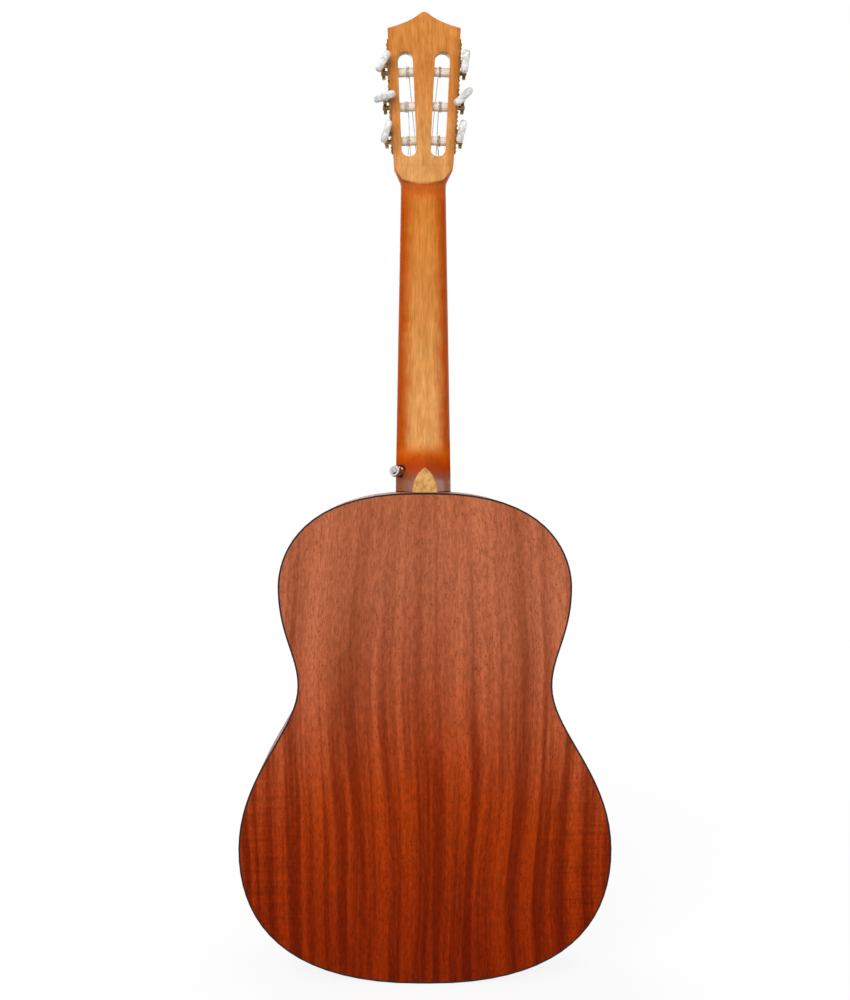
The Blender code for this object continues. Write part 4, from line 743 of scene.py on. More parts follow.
def makeRims():
    front = guitar["front"]
    tall = rim["binding"]
    inner = tall + guitar["glue"]
    top = bodyBand("binding_front", rim["bindingWidth"], lambda y: front - tall, lambda y: front)
    back = bodyBand("binding_back", rim["bindingWidth"], backRim, lambda y: backRim(y) + tall)
    for band, node in ((top, "top_binding"), (back, "back_binding")):
        smoothed(seated(eased(band, rim["ease"]), standUp))
        dressed(band, "black_binding", node)
    for side, label in zip(sides, ("treble", "bass")):
        band = bodyBand(
            "rib_" + label, rim["thickness"], lambda y: backRim(y) + inner, lambda y: front - inner, side
        )
        smoothed(seated(band, standUp))
        dressed(band, "ribbon_mahogany", "side_" + label, finish="rim")


topBoard = {"inset": 0.0018, "thickness": 0.0025, "hole": 0.043, "holeSteps": 128, "ease": 0.0003}
rosetteShape = {"depth": 0.0008, "gap": 0.0001, "steps": 144, "cutAbove": 0.01}


def ringLoop(gap, low, high):
    inner, outer = guitar["rosette"]
    loop = [(inner + gap, low), (outer - gap, low), (outer - gap, high), (inner + gap, high)]
    return loop + loop[:1]


def makeTop():
    front = guitar["front"]
    shape = rosetteShape
    plate = raised(bodyPlate("top_board", topBoard["inset"]), front - topBoard["thickness"], front)
    at = moved(0, guitar["holeAt"])
    carved(plate, seated(rod(topBoard["hole"], 0.02, 0.08, topBoard["holeSteps"]), at))
    low = front - shape["depth"]
    groove = turned("groove_tool", ringLoop(0, low, front + shape["cutAbove"]), shape["steps"])
    carved(plate, seated(groove, at))
    eased(plate, topBoard["ease"], 1, 60)
    smoothed(seated(plate, standUp))
    dressed(plate, "spruce_top", "soundboard")
    loop = ringLoop(shape["gap"], low + shape["gap"], front)
    ring = smoothed(seated(turned("rosette_ring", loop, shape["steps"]), standUp @ at))
    dressed(ring, "rosette_inlay", "rosette")


makeBack()
makeRims()
makeTop()
print("body made")


# The neck, drawn ring by ring from the body to the head

neckShape = {
    "nutDepth": 0.0155, "bodyDepth": 0.018, "roundness": 2.4, "heelSunk": 0.010, "heelDepth": 0.0877,
    "heelHalf": (0.0125, 0.0135), "heelLength": (0.025, 0.037), "heelFlare": 2.4, "heelReach": 0.12,
    "blend": 0.007, "blendTurn": 0.35, "corner": 0.92, "cornerFade": (0.018, 0.07), "flareRound": 0.8,
    "turns": 240, "sideColumns": 20, "flatColumns": 12, "heelRings": 27, "heelStep": 0.0026,
    "rings": (0.570, 0.585, 0.605, 0.630, 0.660, 0.690, 0.720, 0.750, 0.775, 0.790, 0.800, 0.808),
}
# Rings up the scoop: along the head, half width, where the columns close up, depth, roundness
scoopRings = (
    (-0.0080, 0.0245, 0.0130, 0.01550, 2.4), (-0.0055, 0.0245, 0.0105, 0.01560, 2.4),
    (-0.0035, 0.0246, 0.0080, 0.01590, 2.45), (-0.0018, 0.0247, 0.0060, 0.01635, 2.5),
    (-0.0004, 0.0249, 0.0045, 0.01685, 2.5),
)
# Rings up the flare: along the head, half width, edge of the flat back, depth
flareRings = (
    (0.0010, 0.0252, 0.0030, 0.01740), (0.0020, 0.0255, 0.0032, 0.01780), (0.0026, 0.0258, 0.0090, 0.01795),
    (0.0036, 0.0264, 0.0148, 0.01795), (0.0055, 0.0273, 0.0194, 0.01795), (0.0080, 0.0286, 0.0228, 0.01795),
    (0.0102, 0.0297, 0.0253, 0.01795), (0.0124, 0.0307, 0.0276, 0.01795), (0.0146, 0.03155, 0.0297, 0.01795),
    (0.0165, 0.0318, 0.0311, 0.01795), (0.0185, 0.0319, 0.0317, 0.01795), (0.0200, 0.03195, 0.0319, 0.01795),
)


def neckShare(y):
    return (y - guitar["bodyLength"]) / (guitar["nutAt"] - guitar["bodyLength"])


def neckHalf(y):
    return between(neckShare(y), guitar["bodyHalf"], guitar["nutHalf"])


def bullet(share):
    # The pointed outline of the heel, as a share of its half width
    return max(0, 1 - max(0, share) ** 2.1) ** 0.8


def heelReach(turn, away):
    # How far out the heel goes at one turn of a ring, found by halving
    shape = neckShape
    low = 0.0
    high = shape["heelReach"]
    for _ in range(34):
        reach = (low + high) / 2
        sunk = (reach * math.sin(turn) - shape["heelSunk"]) / (shape["heelDepth"] - shape["heelSunk"])
        left = (1 - min(1, max(0, sunk))) ** shape["heelFlare"]
        half, length = (least + more * left for least, more in (shape["heelHalf"], shape["heelLength"]))
        inside = sunk <= 1 and reach * math.cos(turn) <= half * bullet(away / length)
        low, high = (reach, high) if inside else (low, reach)
    return low


def shared(points, share):
    # Spreads a half ring over the columns, with one column at the given share of its length
    lengths = [0]
    for step in steps(points):
        lengths.append(lengths[-1] + step)
    stations = arc(neckShape["sideColumns"], 0, share)[:-1] + arc(neckShape["flatColumns"], share, 1)
    spots = []
    at = 0
    for station in stations:
        length = station * lengths[-1]
        while at < len(lengths) - 2 and lengths[at + 1] < length:
            at += 1
        part = (length - lengths[at]) / (lengths[at + 1] - lengths[at])
        spots.append(tuple(between(part, *ends) for ends in zip(points[at], points[at + 1])))
    return spots


def rounded(turn, half, depth, power):
    return (abs(math.cos(turn) / half) ** power + abs(math.sin(turn) / depth) ** power) ** (-1 / power)


def shaftRing(y):
    shape = neckShape
    depth = between(neckShare(y), shape["bodyDepth"], shape["nutDepth"])
    away = y - guitar["bodyLength"]
    blend = shape["blend"]
    points = []
    for turn in arc(shape["turns"], 0, quarter):
        shaft = rounded(turn, neckHalf(y), depth, shape["roundness"])
        heel = heelReach(turn, away)
        fillet = max(0, blend - abs(shaft - heel)) ** 2 / (4 * blend)
        reach = max(shaft, heel) + fillet * smoothStep(0.0, shape["blendTurn"], turn)
        reach = min(reach, shape["heelDepth"] / max(0.001, math.sin(turn)))
        points.append((reach * math.cos(turn), reach * math.sin(turn)))
    tip = 0
    if away < shape["heelLength"][0]:
        tip = shape["heelHalf"][0] * bullet(away / shape["heelLength"][0])
    corner = min(shape["corner"], 1 - tip / sum(steps(points)))
    share = between(smoothStep(*shape["cornerFade"], away), corner, 0.5)
    return [(x, y, guitar["front"] - down) for x, down in shared(points, share)]


def scoopRing(along, half, edge, depth, power):
    top = along * math.tan(guitar["headTilt"])
    points = []
    for turn in arc(neckShape["turns"], 0, quarter):
        reach = rounded(turn, half, depth + top, power)
        points.append((reach * math.cos(turn), top - reach * math.sin(turn)))
    lengths = steps(points)
    count = min(range(len(points)), key=lambda index: abs(points[index][0] - edge))
    return [(x, along, z) for x, z in shared(points, sum(lengths[:count]) / sum(lengths))]


def flareRing(along, half, edge, depth):
    power = neckShape["flareRound"]
    points = []
    for turn in arc(120, 0, quarter):
        x = between(max(0, math.cos(turn)) ** power, edge, half)
        points.append((x, -depth * max(0, math.sin(turn)) ** power))
    side = sum(steps(points))
    points += [(x, -depth) for x in arc(20, edge, 0)[1:]]
    return [(x, along, z) for x, z in shared(points, side / (side + edge))]


tuner = {
    "first": 0.0442, "spacing": 0.035, "depth": 0.0085, "barrel": 0.0048, "seat": 0.005, "post": 0.0025,
    "gearCentre": 0.0062, "wormOffset": 0.0093, "play": 0.0003, "boreOut": 0.004,
}
slotCentre = headShape["rail"] + headShape["slotWidth"] / 2
slotFloor = headShape["rail"] + headShape["slotWidth"] + tuner["seat"]


def headHalf(along):
    share = (along - headShape["flare"]) / (headShape["shoulder"] - headShape["flare"])
    return between(share, headShape["flareHalf"], headShape["shoulderHalf"])


def sideFrame(side):
    turn = spun(-headTaper if side > 0 else math.pi + headTaper, "Z")
    return moved(side * headHalf(tuner["first"]), tuner["first"], -tuner["depth"]) @ turn


def machineSeat(number):
    side, rank = (1, number - 1) if number <= 3 else (-1, 6 - number)
    return side, sideFrame(side) @ moved(0, side * rank * tuner["spacing"])


def headOutline(start, startHalf):
    shape = headShape
    knots = [Vector((shape["shoulderHalf"] * across, shape["shoulder"] + shape["crest"] * up))
             for across, up in shape["crestShares"]]
    edge = [(startHalf, start)]
    if start < shape["flare"]:
        edge.append((shape["flareHalf"], shape["flare"]))
    for share in arc(shape["crestSteps"], 0, 1):
        left = 1 - share
        weights = (left ** 3, 3 * left * left * share, 3 * left * share * share, share ** 3)
        edge.append(tuple(sum((knot * weight for knot, weight in zip(knots, weights)), Vector((0, 0)))))
    tip, tipShare = shape["crestTip"]
    edge.append((tip, shape["shoulder"] + shape["crest"] * tipShare))
    edge.append((0, shape["shoulder"] + shape["crest"]))
    return mirrored(edge)


def slotTool(side):
    radius = headShape["slotWidth"] / 2
    points = []
    low = headShape["slotStart"] + radius
    high = headShape["slotEnd"] - radius
    for along, start in ((low, math.pi), (high, 0)):
        middle = (along - tuner["first"]) * side
        for turn in arc(20, start, start + math.pi):
            across = -slotCentre + side * radius * math.cos(turn)
            spot = sideFrame(side) @ Vector((across, middle + side * radius * math.sin(turn), 0))
            points.append((spot.x, spot.y))
    return raised(drawn("slot_tool", points), *headShape["slotCut"])


def rampTool(side):
    shape = headShape
    length = math.hypot(shape["rampDepth"], shape["rampLength"])
    slope = math.atan2(shape["rampDepth"], shape["rampLength"])
    block = raised(drawn("ramp_tool", oblong(shape["rampWidth"] / 2, 0, length)), 0, shape["rampLength"])
    spot = sideFrame(side) @ Vector((-slotCentre, (shape["slotStart"] - tuner["first"]) * side, 0))
    start = shape["slotStart"] + shape["slotWidth"] / 2 - shape["rampLength"]
    turn = spun(-side * headTaper, "Z") @ spun(-slope, "X")
    seat = moved(spot.x, start, shape["veneer"] + shape["rampLift"]) @ turn
    return seated(eased(block, shape["rampEase"], 3), seat)


def slotted(piece, ease):
    for side in sides:
        carved(piece, slotTool(side))
    eased(piece, ease)
    for side in sides:
        carved(piece, rampTool(side))
    return piece


def makeNeck():
    low = guitar["bodyLength"] + guitar["glue"]
    places = [low + neckShape["heelStep"] * index for index in range(neckShape["heelRings"])]
    rings = [shaftRing(y) for y in (*places, *neckShape["rings"])]
    heads = [scoopRing(*ring) for ring in scoopRings] + [flareRing(*ring) for ring in flareRings]
    intoPlan = standUp.inverted() @ headSeat
    rings += [[tuple(intoPlan @ Vector(spot)) for spot in ring] for ring in heads]
    neck = seated(lofted("neck_and_head", [mirrored(ring) for ring in rings]), standUp)
    start = headShape["slabStart"]
    slab = raised(drawn("slab", headOutline(start, headHalf(start))), -headShape["thickness"], 0)
    slotted(slab, headShape["slabEase"])
    for number in range(1, 7):
        bore = rod(tuner["barrel"] + tuner["play"], -slotFloor - guitar["glue"], tuner["boreOut"], 40)
        carved(slab, seated(bore, machineSeat(number)[1] @ spun(quarter, "Y")))
    carved(neck, seated(slab, headSeat), "UNION")
    dressed(smoothed(neck, 40), "neck_mahogany", "neck")


def makeVeneer():
    start = guitar["glue"]
    half = between(start / headShape["flare"], guitar["nutHalf"], headShape["flareHalf"])
    veneer = raised(drawn("head_face", headOutline(start, half)), start, start + headShape["veneer"])
    slotted(veneer, headShape["veneerEase"])
    smoothed(seated(veneer, headSeat), 28)
    dressed(veneer, "rosewood", "head_veneer")


heelCap = {"half": 0.0125, "length": 0.025, "thickness": 0.004, "ease": 0.0006}


def makeHeelCap():
    low = guitar["bodyLength"] + guitar["glue"]
    ups = [math.sin(turn) for turn in arc(24, 0, quarter)]
    points = mirrored([(heelCap["half"] * bullet(up), low + heelCap["length"] * up) for up in ups])
    bottom = backRim(guitar["bodyLength"])
    cap = raised(drawn("heel_plate", points), bottom, bottom + heelCap["thickness"])
    smoothed(seated(eased(cap, heelCap["ease"], 3), standUp))
    dressed(cap, "heel_cap_wood", "heel_cap")


makeNeck()
makeVeneer()
makeHeelCap()
print("neck and head made")


# Fretboard, frets, nut, bridge and saddle

fretboard = {
    "end": 0.37808, "ease": 0.0006, "frets": 19, "fretWidth": 0.0022, "fretHeight": 0.0011,
    "fretTrim": 0.0004, "fretSunk": 0.0008, "fretRound": 0.8,
    "fretEnds": ((0, 0.2), (0.0009, 0.92), (0.002, 1)),
}


def makeFretboard():
    end = fretboard["end"]
    high = guitar["nutAt"] - guitar["glue"]
    corners = [(neckHalf(end), end), (neckHalf(high), high), (-neckHalf(high), high), (-neckHalf(end), end)]
    board = raised(drawn("finger_board", corners), guitar["front"] + guitar["glue"], guitar["fretboardTop"])
    smoothed(seated(eased(board, fretboard["ease"], 3), standUp))
    dressed(board, "rosewood", "fretboard")


def makeFrets():
    top = guitar["fretboardTop"]
    wide = fretboard["fretWidth"] / 2
    low = top - fretboard["fretSunk"]
    for number in range(1, fretboard["frets"] + 1):
        y = guitar["nutAt"] - guitar["scale"] * (1 - 2 ** (-number / 12))
        half = neckHalf(y) - fretboard["fretTrim"]
        ends = [(inset - half, height) for inset, height in fretboard["fretEnds"]]
        rings = []
        for x, share in mirrored(ends, 0):
            tall = fretboard["fretHeight"] * share
            crown = [(math.cos(turn), math.sin(turn) ** fretboard["fretRound"]) for turn in arc(8)]
            ring = [(x, y - wide, low), (x, y + wide, low)]
            rings.append(ring + [(x, y + across * wide, top + up * tall) for across, up in crown])
        fret = smoothed(seated(lofted(f"fret_{number}", rings), standUp), 50)
        dressed(fret, "rosewood", "fretboard", finish="chrome")


strings = {
    "diameters": (0.00071, 0.00082, 0.00103, 0.00074, 0.00089, 0.00109), "nutSpacing": 0.0082,
    "saddleSpacing": 0.0116, "nutHeight": 0.0018, "saddleHeight": 0.0066, "sink": 0.00005,
}


def stringX(number, spacing):
    return (3.5 - number) * spacing


nutShape = {"thickness": 0.0055, "lip": 0.0008, "groove": 0.0018, "grooveDepth": 0.0006, "ease": 0.0002}


def makeNut():
    low = guitar["front"] + guitar["glue"]
    floor = guitar["fretboardTop"] + strings["nutHeight"] - guitar["glue"]
    top = floor + guitar["glue"] + nutShape["lip"]
    half = guitar["nutHalf"]
    wide = nutShape["groove"] / 2
    deep = nutShape["grooveDepth"]
    points = [(-half, low), (half, low), (half, top)]
    for number in range(1, 7):
        x = stringX(number, strings["nutSpacing"])
        groove = [(x + math.cos(turn) * wide, floor + deep - math.sin(turn) * deep) for turn in arc(6)]
        points += [(x + wide, top), *groove, (x - wide, top)]
    points.append((-half, top))
    nut = eased(raised(drawn("nut_bone", points), 0, nutShape["thickness"]), nutShape["ease"], 2, 40)
    smoothed(seated(nut, standUp @ moved(0, guitar["nutAt"] + nutShape["thickness"]) @ spun(quarter, "X")))
    dressed(nut, "bone", "nut")


bridgeShape = {
    "centreHalf": 0.042, "front": 0.0075, "back": 0.0205, "height": 0.008, "frontEdge": 0.003,
    "slope": ((0.0058, 0.0060), (0.0040, 0.0076), (0.0028, 0.0080)), "channel": 0.004, "channelLean": 0.0006,
    "tieHeight": 0.009, "tieStart": 0.008, "hole": 0.0012, "holeHeight": 0.0055, "holeRun": (-0.03, -0.006),
    "saddleHalf": 0.0016, "seat": 0.003, "ease": 0.0004, "wing": 0.0029, "wingTrim": 0.0005,
    "wingRings": (
        (0.030, 1), (0.050, 1), (0.075, 1), (0.088, 0.97), (0.0915, 0.86), (0.0928, 0.55), (0.093, 0.3),
    ),
    "trim": 0.0012, "trimEase": 0.0002, "trimProud": 0.00008,
}


def makeBridge():
    shape = bridgeShape
    front, back, height, seat, channel, tie, tieTop, slit = (shape[key] for key in (
        "front", "back", "height", "seat", "channel", "tieStart", "tieHeight", "saddleHalf",
    ))
    place = standUp @ moved(0, guitar["saddleAt"], guitar["front"] + guitar["glue"])
    profile = [
        (-back, 0), (front, 0), (front, shape["frontEdge"]), *shape["slope"], (slit, height), (slit, seat),
        (-slit, seat), (-slit, height), (-channel, height), (-channel - shape["channelLean"], channel),
        (-tie, channel), (-tie, tieTop), (-back, tieTop),
    ]
    bridge = raised(drawn("tie_bridge", profile), -shape["centreHalf"], shape["centreHalf"])
    eased(seated(bridge, alongX), shape["ease"])
    middle = (front - back) / 2
    reach = (front + back) / 2 - shape["wingTrim"]
    section = [(middle + reach * math.cos(turn), max(0, math.sin(turn)) ** 0.5) for turn in arc(16)]
    for side in sides:
        rings = []
        for x, share in shape["wingRings"]:
            rings.append([(side * x, y, shape["wing"] * share * up) for y, up in section])
        carved(bridge, lofted("wing_tool", rings), "UNION")
    for number in range(1, 7):
        spot = moved(stringX(number, strings["saddleSpacing"]), 0, shape["holeHeight"])
        carved(bridge, seated(rod(shape["hole"], *shape["holeRun"], 24), spot @ spun(-quarter, "X")))
    smoothed(seated(bridge, place))
    dressed(bridge, "rosewood", "bridge", finish="bridge")
    thick = shape["trim"]
    for label, y in (("front", -tie), ("rear", -back + thick)):
        corners = ((y, 0), (y, thick), (y - thick, thick), (y - thick, 0))
        trim = raised(drawn("tie_trim_" + label, corners), -shape["centreHalf"], shape["centreHalf"])
        eased(seated(trim, alongX), shape["trimEase"])
        seated(trim, place @ moved(0, 0, tieTop - thick + shape["trimProud"]))
        dressed(smoothed(trim), "bone", "bridge")


saddleShape = {"half": 0.0013, "length": 0.040, "low": 0.0521, "top": 0.0611, "crown": 0.0009, "ease": 0.0003}


def makeSaddle():
    shape = saddleShape
    half = shape["half"]
    low = shape["top"] - shape["crown"]
    points = [(-half, shape["low"]), (half, shape["low"])]
    points += [(half * math.cos(turn), low + shape["crown"] * math.sin(turn)) for turn in arc(8)]
    saddle = seated(raised(drawn("saddle_bone", points), -shape["length"], shape["length"]), alongX)
    eased(saddle, shape["ease"], 2, 60)
    seated(saddle, standUp @ moved(0, guitar["saddleAt"]))
    dressed(smoothed(saddle), "bone", "saddle")


makeFretboard()
makeFrets()
makeNut()
makeBridge()
makeSaddle()
print("fittings made")


# Tuning machines

plateShape = {
    "thickness": 0.0012, "half": 0.0085, "below": 0.013, "above": 0.0345, "inner": 0.00002, "ease": 0.0003,
    "point": ((0, 0), (0.0009, -0.0026), (0.0023, -0.0040), (0.0042, -0.0055), (0.0065, -0.0085)),
    "bead": 0.00105, "beadStep": 0.0046, "beadInset": 0.0010,
    "earHalf": 0.0032, "earThickness": 0.0016, "earMiddle": 0.0054, "earFoot": -0.0053, "earTop": 0.0008,
    "earRound": 0.0023, "earEase": 0.0002, "shaft": 0.0015, "drill": 0.01,
    "screw": (0.0019, 0.0011, 0.0006), "screwTurn": (0.7, 31), "screwBelow": 0.0031, "screwAbove": 0.0065,
    "screwPast": 0.004,
}


def screwHead(name, radius, height, slotWidth):
    head = turned(name, [
        (0, -height), (radius * 0.6, -height), (radius, -0.0002), (radius, 0), (radius * 0.92, height * 0.35),
        (radius * 0.7, height * 0.68), (radius * 0.38, height * 0.92), (0, height),
    ], 28)
    corners = oblong(radius * 1.3, -slotWidth / 2, slotWidth / 2)
    return carved(head, raised(drawn("slot_tool", corners), height * 0.35, height * 2))


def makeBearing():
    shape = plateShape
    half = shape["earHalf"]
    top = shape["earTop"]
    points = [(shape["earFoot"], -half), (shape["earFoot"], half), (top, half)]
    for turn in arc(8, quarter, -quarter):
        points.append((top + shape["earRound"] * math.cos(turn), half * math.sin(turn)))
    points.append((top, -half))
    bearing = raised(drawn("bearing", points), -shape["earThickness"] / 2, shape["earThickness"] / 2)
    eased(bearing, shape["earEase"])
    return carved(bearing, rod(shape["shaft"] + tuner["play"], -shape["drill"], shape["drill"], 24))


def makePlate(side, label):
    shape = plateShape
    spacing = tuner["spacing"]
    low = -shape["below"]
    high = 2 * spacing + shape["above"]
    point = shape["point"]
    edge = [(low + y, z) for y, z in point] + [(high - y, z) for y, z in point[::-1]]
    outline = edge + [(y, -z) for y, z in edge[-2:0:-1]]
    outer = guitar["glue"] + shape["thickness"]
    plate = raised(drawn("plate_" + label, [(y * side, z) for y, z in outline]), shape["inner"], outer)
    eased(plate, shape["ease"])
    for rank in range(3):
        tool = rod(tuner["post"] + tuner["play"], -shape["drill"], shape["drill"], 28)
        carved(plate, seated(tool, moved(side * rank * spacing)))
    parts = [seated(plate, alongX)]
    bearing = makeBearing()
    for rank in range(3):
        y = side * (rank * spacing + tuner["wormOffset"])
        for z in (-shape["earMiddle"], shape["earMiddle"]):
            parts.append(copied(bearing, "ear", moved(tuner["gearCentre"], y, z)))
    bpy.ops.mesh.primitive_ico_sphere_add(subdivisions=2, radius=shape["bead"])
    bead = named("bead")
    first = low + point[-1][0]
    last = high - point[-1][0]
    for y in arc(round((last - first) / shape["beadStep"]), first, last):
        for z in (shape["beadInset"] - shape["half"], shape["half"] - shape["beadInset"]):
            parts.append(copied(bead, "bead", moved(outer, side * y, z)))
    screw = screwHead("screw", *shape["screw"])
    start, change = shape["screwTurn"]
    places = [spacing * share + shape["screwPast"] for share in (0.5, 1.5)]
    for y in (low + shape["screwBelow"], *places, high - shape["screwAbove"]):
        turn = spun(quarter, "Y") @ spun(start + change * y, "Z")
        parts.append(copied(screw, "screw", moved(outer, side * y) @ turn))
    removed(bearing, bead, screw)
    whole = joined("tuner_strip_" + label, parts)
    smoothed(seated(whole, headSeat @ sideFrame(side)), 35)
    dressed(whole, "tuner_brass", "tuner_plate_" + label)


buttonShape = {
    "length": 0.016, "half": 0.012, "thickness": 0.0076, "start": -0.011, "turns": (20, 75, 35, 4, 45, 10),
    "socket": (0.0018, -0.006, 0.0064), "middle": 0.55,
    "edge": (
        (0.32, 0.0), (0.32, 0.10), (0.46, 0.20), (0.72, 0.31), (0.90, 0.42), (0.98, 0.54), (1, 0.66),
        (0.97, 0.78), (0.86, 0.89), (0.66, 0.965), (0.40, 0.995), (0.15, 1),
    ),
    "layers": (
        (-0.5, 0.0024), (-0.40, 0.0010), (-0.22, 0.0002), (0, 0),
        (0.22, 0.0002), (0.40, 0.0010), (0.5, 0.0024),
    ),
}


def makeButton():
    shape = buttonShape
    outline = [(shape["half"] * across, shape["length"] * along) for across, along in shape["edge"]]
    middle = Vector((0, shape["length"] * shape["middle"]))
    rings = []
    for height, inset in shape["layers"]:
        spots = [Vector(spot) for spot in mirrored(outline, 0)]
        spots = [spot + (middle - spot).normalized() * inset for spot in spots]
        rings.append([(spot.x, max(0.0, spot.y), shape["thickness"] * height) for spot in spots])
    button = lofted("button", rings)
    carved(button, seated(rod(*shape["socket"], 24), spun(-quarter, "X")))
    return smoothed(button, 50)


rollerShape = {
    "ease": 0.0006, "postStart": -0.0004, "postEnd": 0.0083, "postEase": 0.0004, "postTrim": 0.0001,
    "hole": 0.00105, "holeIn": 0.001, "drill": 0.01, "screw": (0.0027, 0.0010, 0.0008), "screwAt": 0.0084,
}


def makeRollerParts():
    shape = rollerShape
    radius = tuner["barrel"]
    ease = shape["ease"]
    barrel = turned("barrel", [
        (0, -slotFloor), (radius - ease, -slotFloor), (radius, ease - slotFloor), (radius, -ease),
        (radius - ease, 0), (0, 0),
    ], 40)
    radius = tuner["post"] - shape["postTrim"]
    ease = shape["postEase"]
    start = shape["postStart"]
    end = shape["postEnd"]
    post = turned("post", [
        (0, start), (radius, start), (radius, end - ease), (radius - ease, end), (0, end),
    ], 28)
    lying = spun(quarter, "Y")
    hole = rod(shape["hole"], -shape["drill"], shape["drill"], 20)
    carved(seated(barrel, lying), seated(hole, moved(-slotCentre - shape["holeIn"])))
    screw = screwHead("gear_screw", *shape["screw"])
    return smoothed(barrel, 40), smoothed(seated(post, lying), 40), smoothed(seated(screw, lying), 40)


def makeMachines():
    for side, label in zip(sides, ("treble", "bass")):
        makePlate(side, label)
    button = makeButton()
    barrel, post, screw = makeRollerParts()
    stand = Matrix(((0, 0, -1, 0), (1, 0, 0, 0), (0, -1, 0, buttonShape["start"]), (0, 0, 0, 1)))
    for number in range(1, 7):
        side, place = machineSeat(number)
        machine = headSeat @ place
        worm = machine @ moved(tuner["gearCentre"], side * tuner["wormOffset"])
        turn = spun(math.radians(buttonShape["turns"][number - 1]), "Z")
        winder = f"winder_{number}"
        roller = f"roller_{number}"
        paddle = copied(button, f"pearl_{number}", worm @ turn @ stand)
        dressed(paddle, "pearl_buttons", f"button_{number}", body=f"worm_{number}")
        dressed(copied(barrel, f"sleeve_{number}", machine), "cream_rollers", roller, body=winder)
        dressed(copied(post, f"post_{number}", machine), "tuner_brass", roller, body=winder)
        cap = copied(screw, f"gear_screw_{number}", machine @ moved(rollerShape["screwAt"]))
        dressed(cap, "tuner_brass", body=winder)
    removed(button, barrel, post, screw)


makeMachines()
print("tuning machines made")


# Strings: the tie at the bridge, the run over saddle and nut, and the turns on the roller

winding = {
    "turns": (3, 3, 2, 2, 2, 2), "gap": 0.0006, "steps": 32, "coarse": 16,
    "start": (0.0185, 0.0185, 0.0205, 0.0205, 0.0185, 0.0185),
}
# Share of the lean, face of the tie block, how far out of it, level, and radii above that
tiePath = (
    (1, "front", 1, "over", -4), (1, "front", 0.8, "over", -1), (1, "front", -0.3, "over", 0),
    (1, "rear", 0.3, "over", 0), (0.9, "rear", -0.9, "over", -1), (0.6, "rear", -1.3, "middle", 0),
    (0.2, "rear", -1.1, "hole", 1), (0, "rear", -0.3, "hole", 0), (0, "front", 1, "hole", 0),
)


def stringPoints(number, radius):
    glue = guitar["glue"]
    saddle = guitar["saddleAt"]
    x = stringX(number, strings["saddleSpacing"])
    deck = guitar["front"] + glue
    hole = deck + bridgeShape["holeHeight"]
    above = deck + bridgeShape["tieHeight"] + radius + glue
    levels = {"over": above, "middle": (above + hole) / 2, "hole": hole}
    faces = {"front": saddle - bridgeShape["tieStart"], "rear": saddle - bridgeShape["back"]}
    lean = strings["saddleSpacing"] / 6
    stand = radius + 2 * glue
    points = [
        Vector((x + lean * share, faces[face] + stand * out, levels[level] + radius * radii))
        for share, face, out, level, radii in tiePath
    ]
    top = guitar["fretboardTop"] + strings["saddleHeight"] + radius - strings["sink"]
    half = saddleShape["half"]
    for past, drop in ((-half - stand, stand / 3), (-half, 0), (half, 0)):
        points.append(Vector((x, saddle + past, top - drop)))
    nutX = stringX(number, strings["nutSpacing"])
    nutTop = guitar["fretboardTop"] + strings["nutHeight"] + radius
    for past, drop in ((0, 0), (nutShape["thickness"] * 0.7, 0), (nutShape["thickness"] + stand, stand / 3)):
        points.append(Vector((nutX, guitar["nutAt"] + past, nutTop - drop)))
    side, seat = machineSeat(number)
    place = standUp.inverted() @ headSeat @ seat
    leaving = place.inverted() @ points[-1]
    wind = (tuner["barrel"] + radius + glue) / math.cos(math.pi / winding["coarse"])
    away = -side * leaving.y
    first = math.atan2(leaving.z, away) - math.asin(wind / math.hypot(away, leaving.z))
    pitch = 2 * radius + winding["gap"]
    for index in range(winding["turns"][number - 1] * winding["steps"] + 1):
        share = index / winding["steps"]
        turn = first + 2 * math.pi * share
        along = -winding["start"][number - 1] + pitch * share
        points.append(place @ Vector((along, side * wind * math.sin(turn), wind * math.cos(turn))))
    return points


def makeStrings():
    for number in range(1, 7):
        radius = strings["diameters"][number - 1] / 2
        points = stringPoints(number, radius)
        name = f"line_{number}"
        bpy.ops.curve.primitive_nurbs_path_add()
        line = named(name)
        line.data.splines.clear()
        spline = line.data.splines.new("POLY")
        spline.points.add(len(points) - 1)
        for spot, point in zip(spline.points, points):
            spot.co = (*point, 1)
        line.data.bevel_depth = radius
        line.data.bevel_resolution = 3
        line.data.use_fill_caps = True
        bpy.ops.object.convert(target="MESH")
        piece = smoothed(seated(named(name), standUp), 60)
        dressed(piece, "clear_nylon" if number <= 3 else "wound_silver", f"string_{number}")


makeStrings()
print("strings made")


# Strap button on the heel

strapShape = {
    "seat": (0.023792, -0.034472, 0.513), "axis": (0.559193, 0.829038, 0.0),
    "button": (
        (0, 0.0021), (0.0050, 0.0021), (0.0050, 0.0026), (0.0042, 0.0036), (0.0036, 0.0050), (0.0035, 0.0066),
        (0.0036, 0.0082), (0.0043, 0.0096), (0.0055, 0.0108), (0.0063, 0.0117), (0.0065, 0.0124),
        (0.0064, 0.0131), (0.0060, 0.0137), (0.0052, 0.0141), (0.0036, 0.0141), (0.0034, 0.0133), (0, 0.0133),
    ),
    "washer": (
        (0.0021, 0.0003), (0.0066, 0.0003), (0.0070, 0.0007), (0.0070, 0.0014), (0.0066, 0.0019),
        (0.0021, 0.0019), (0.0021, 0.0003),
    ),
    "screw": (
        (0, 0.0125), (0.0031, 0.0130), (0.0033, 0.0138), (0.0031, 0.0147), (0.0023, 0.0153), (0.0012, 0.0156),
        (0, 0.0156),
    ),
    "cross": (0.0019, -0.0004, 0.0004), "crossCut": (0.0143, 0.02), "crossTurn": 0.4,
}


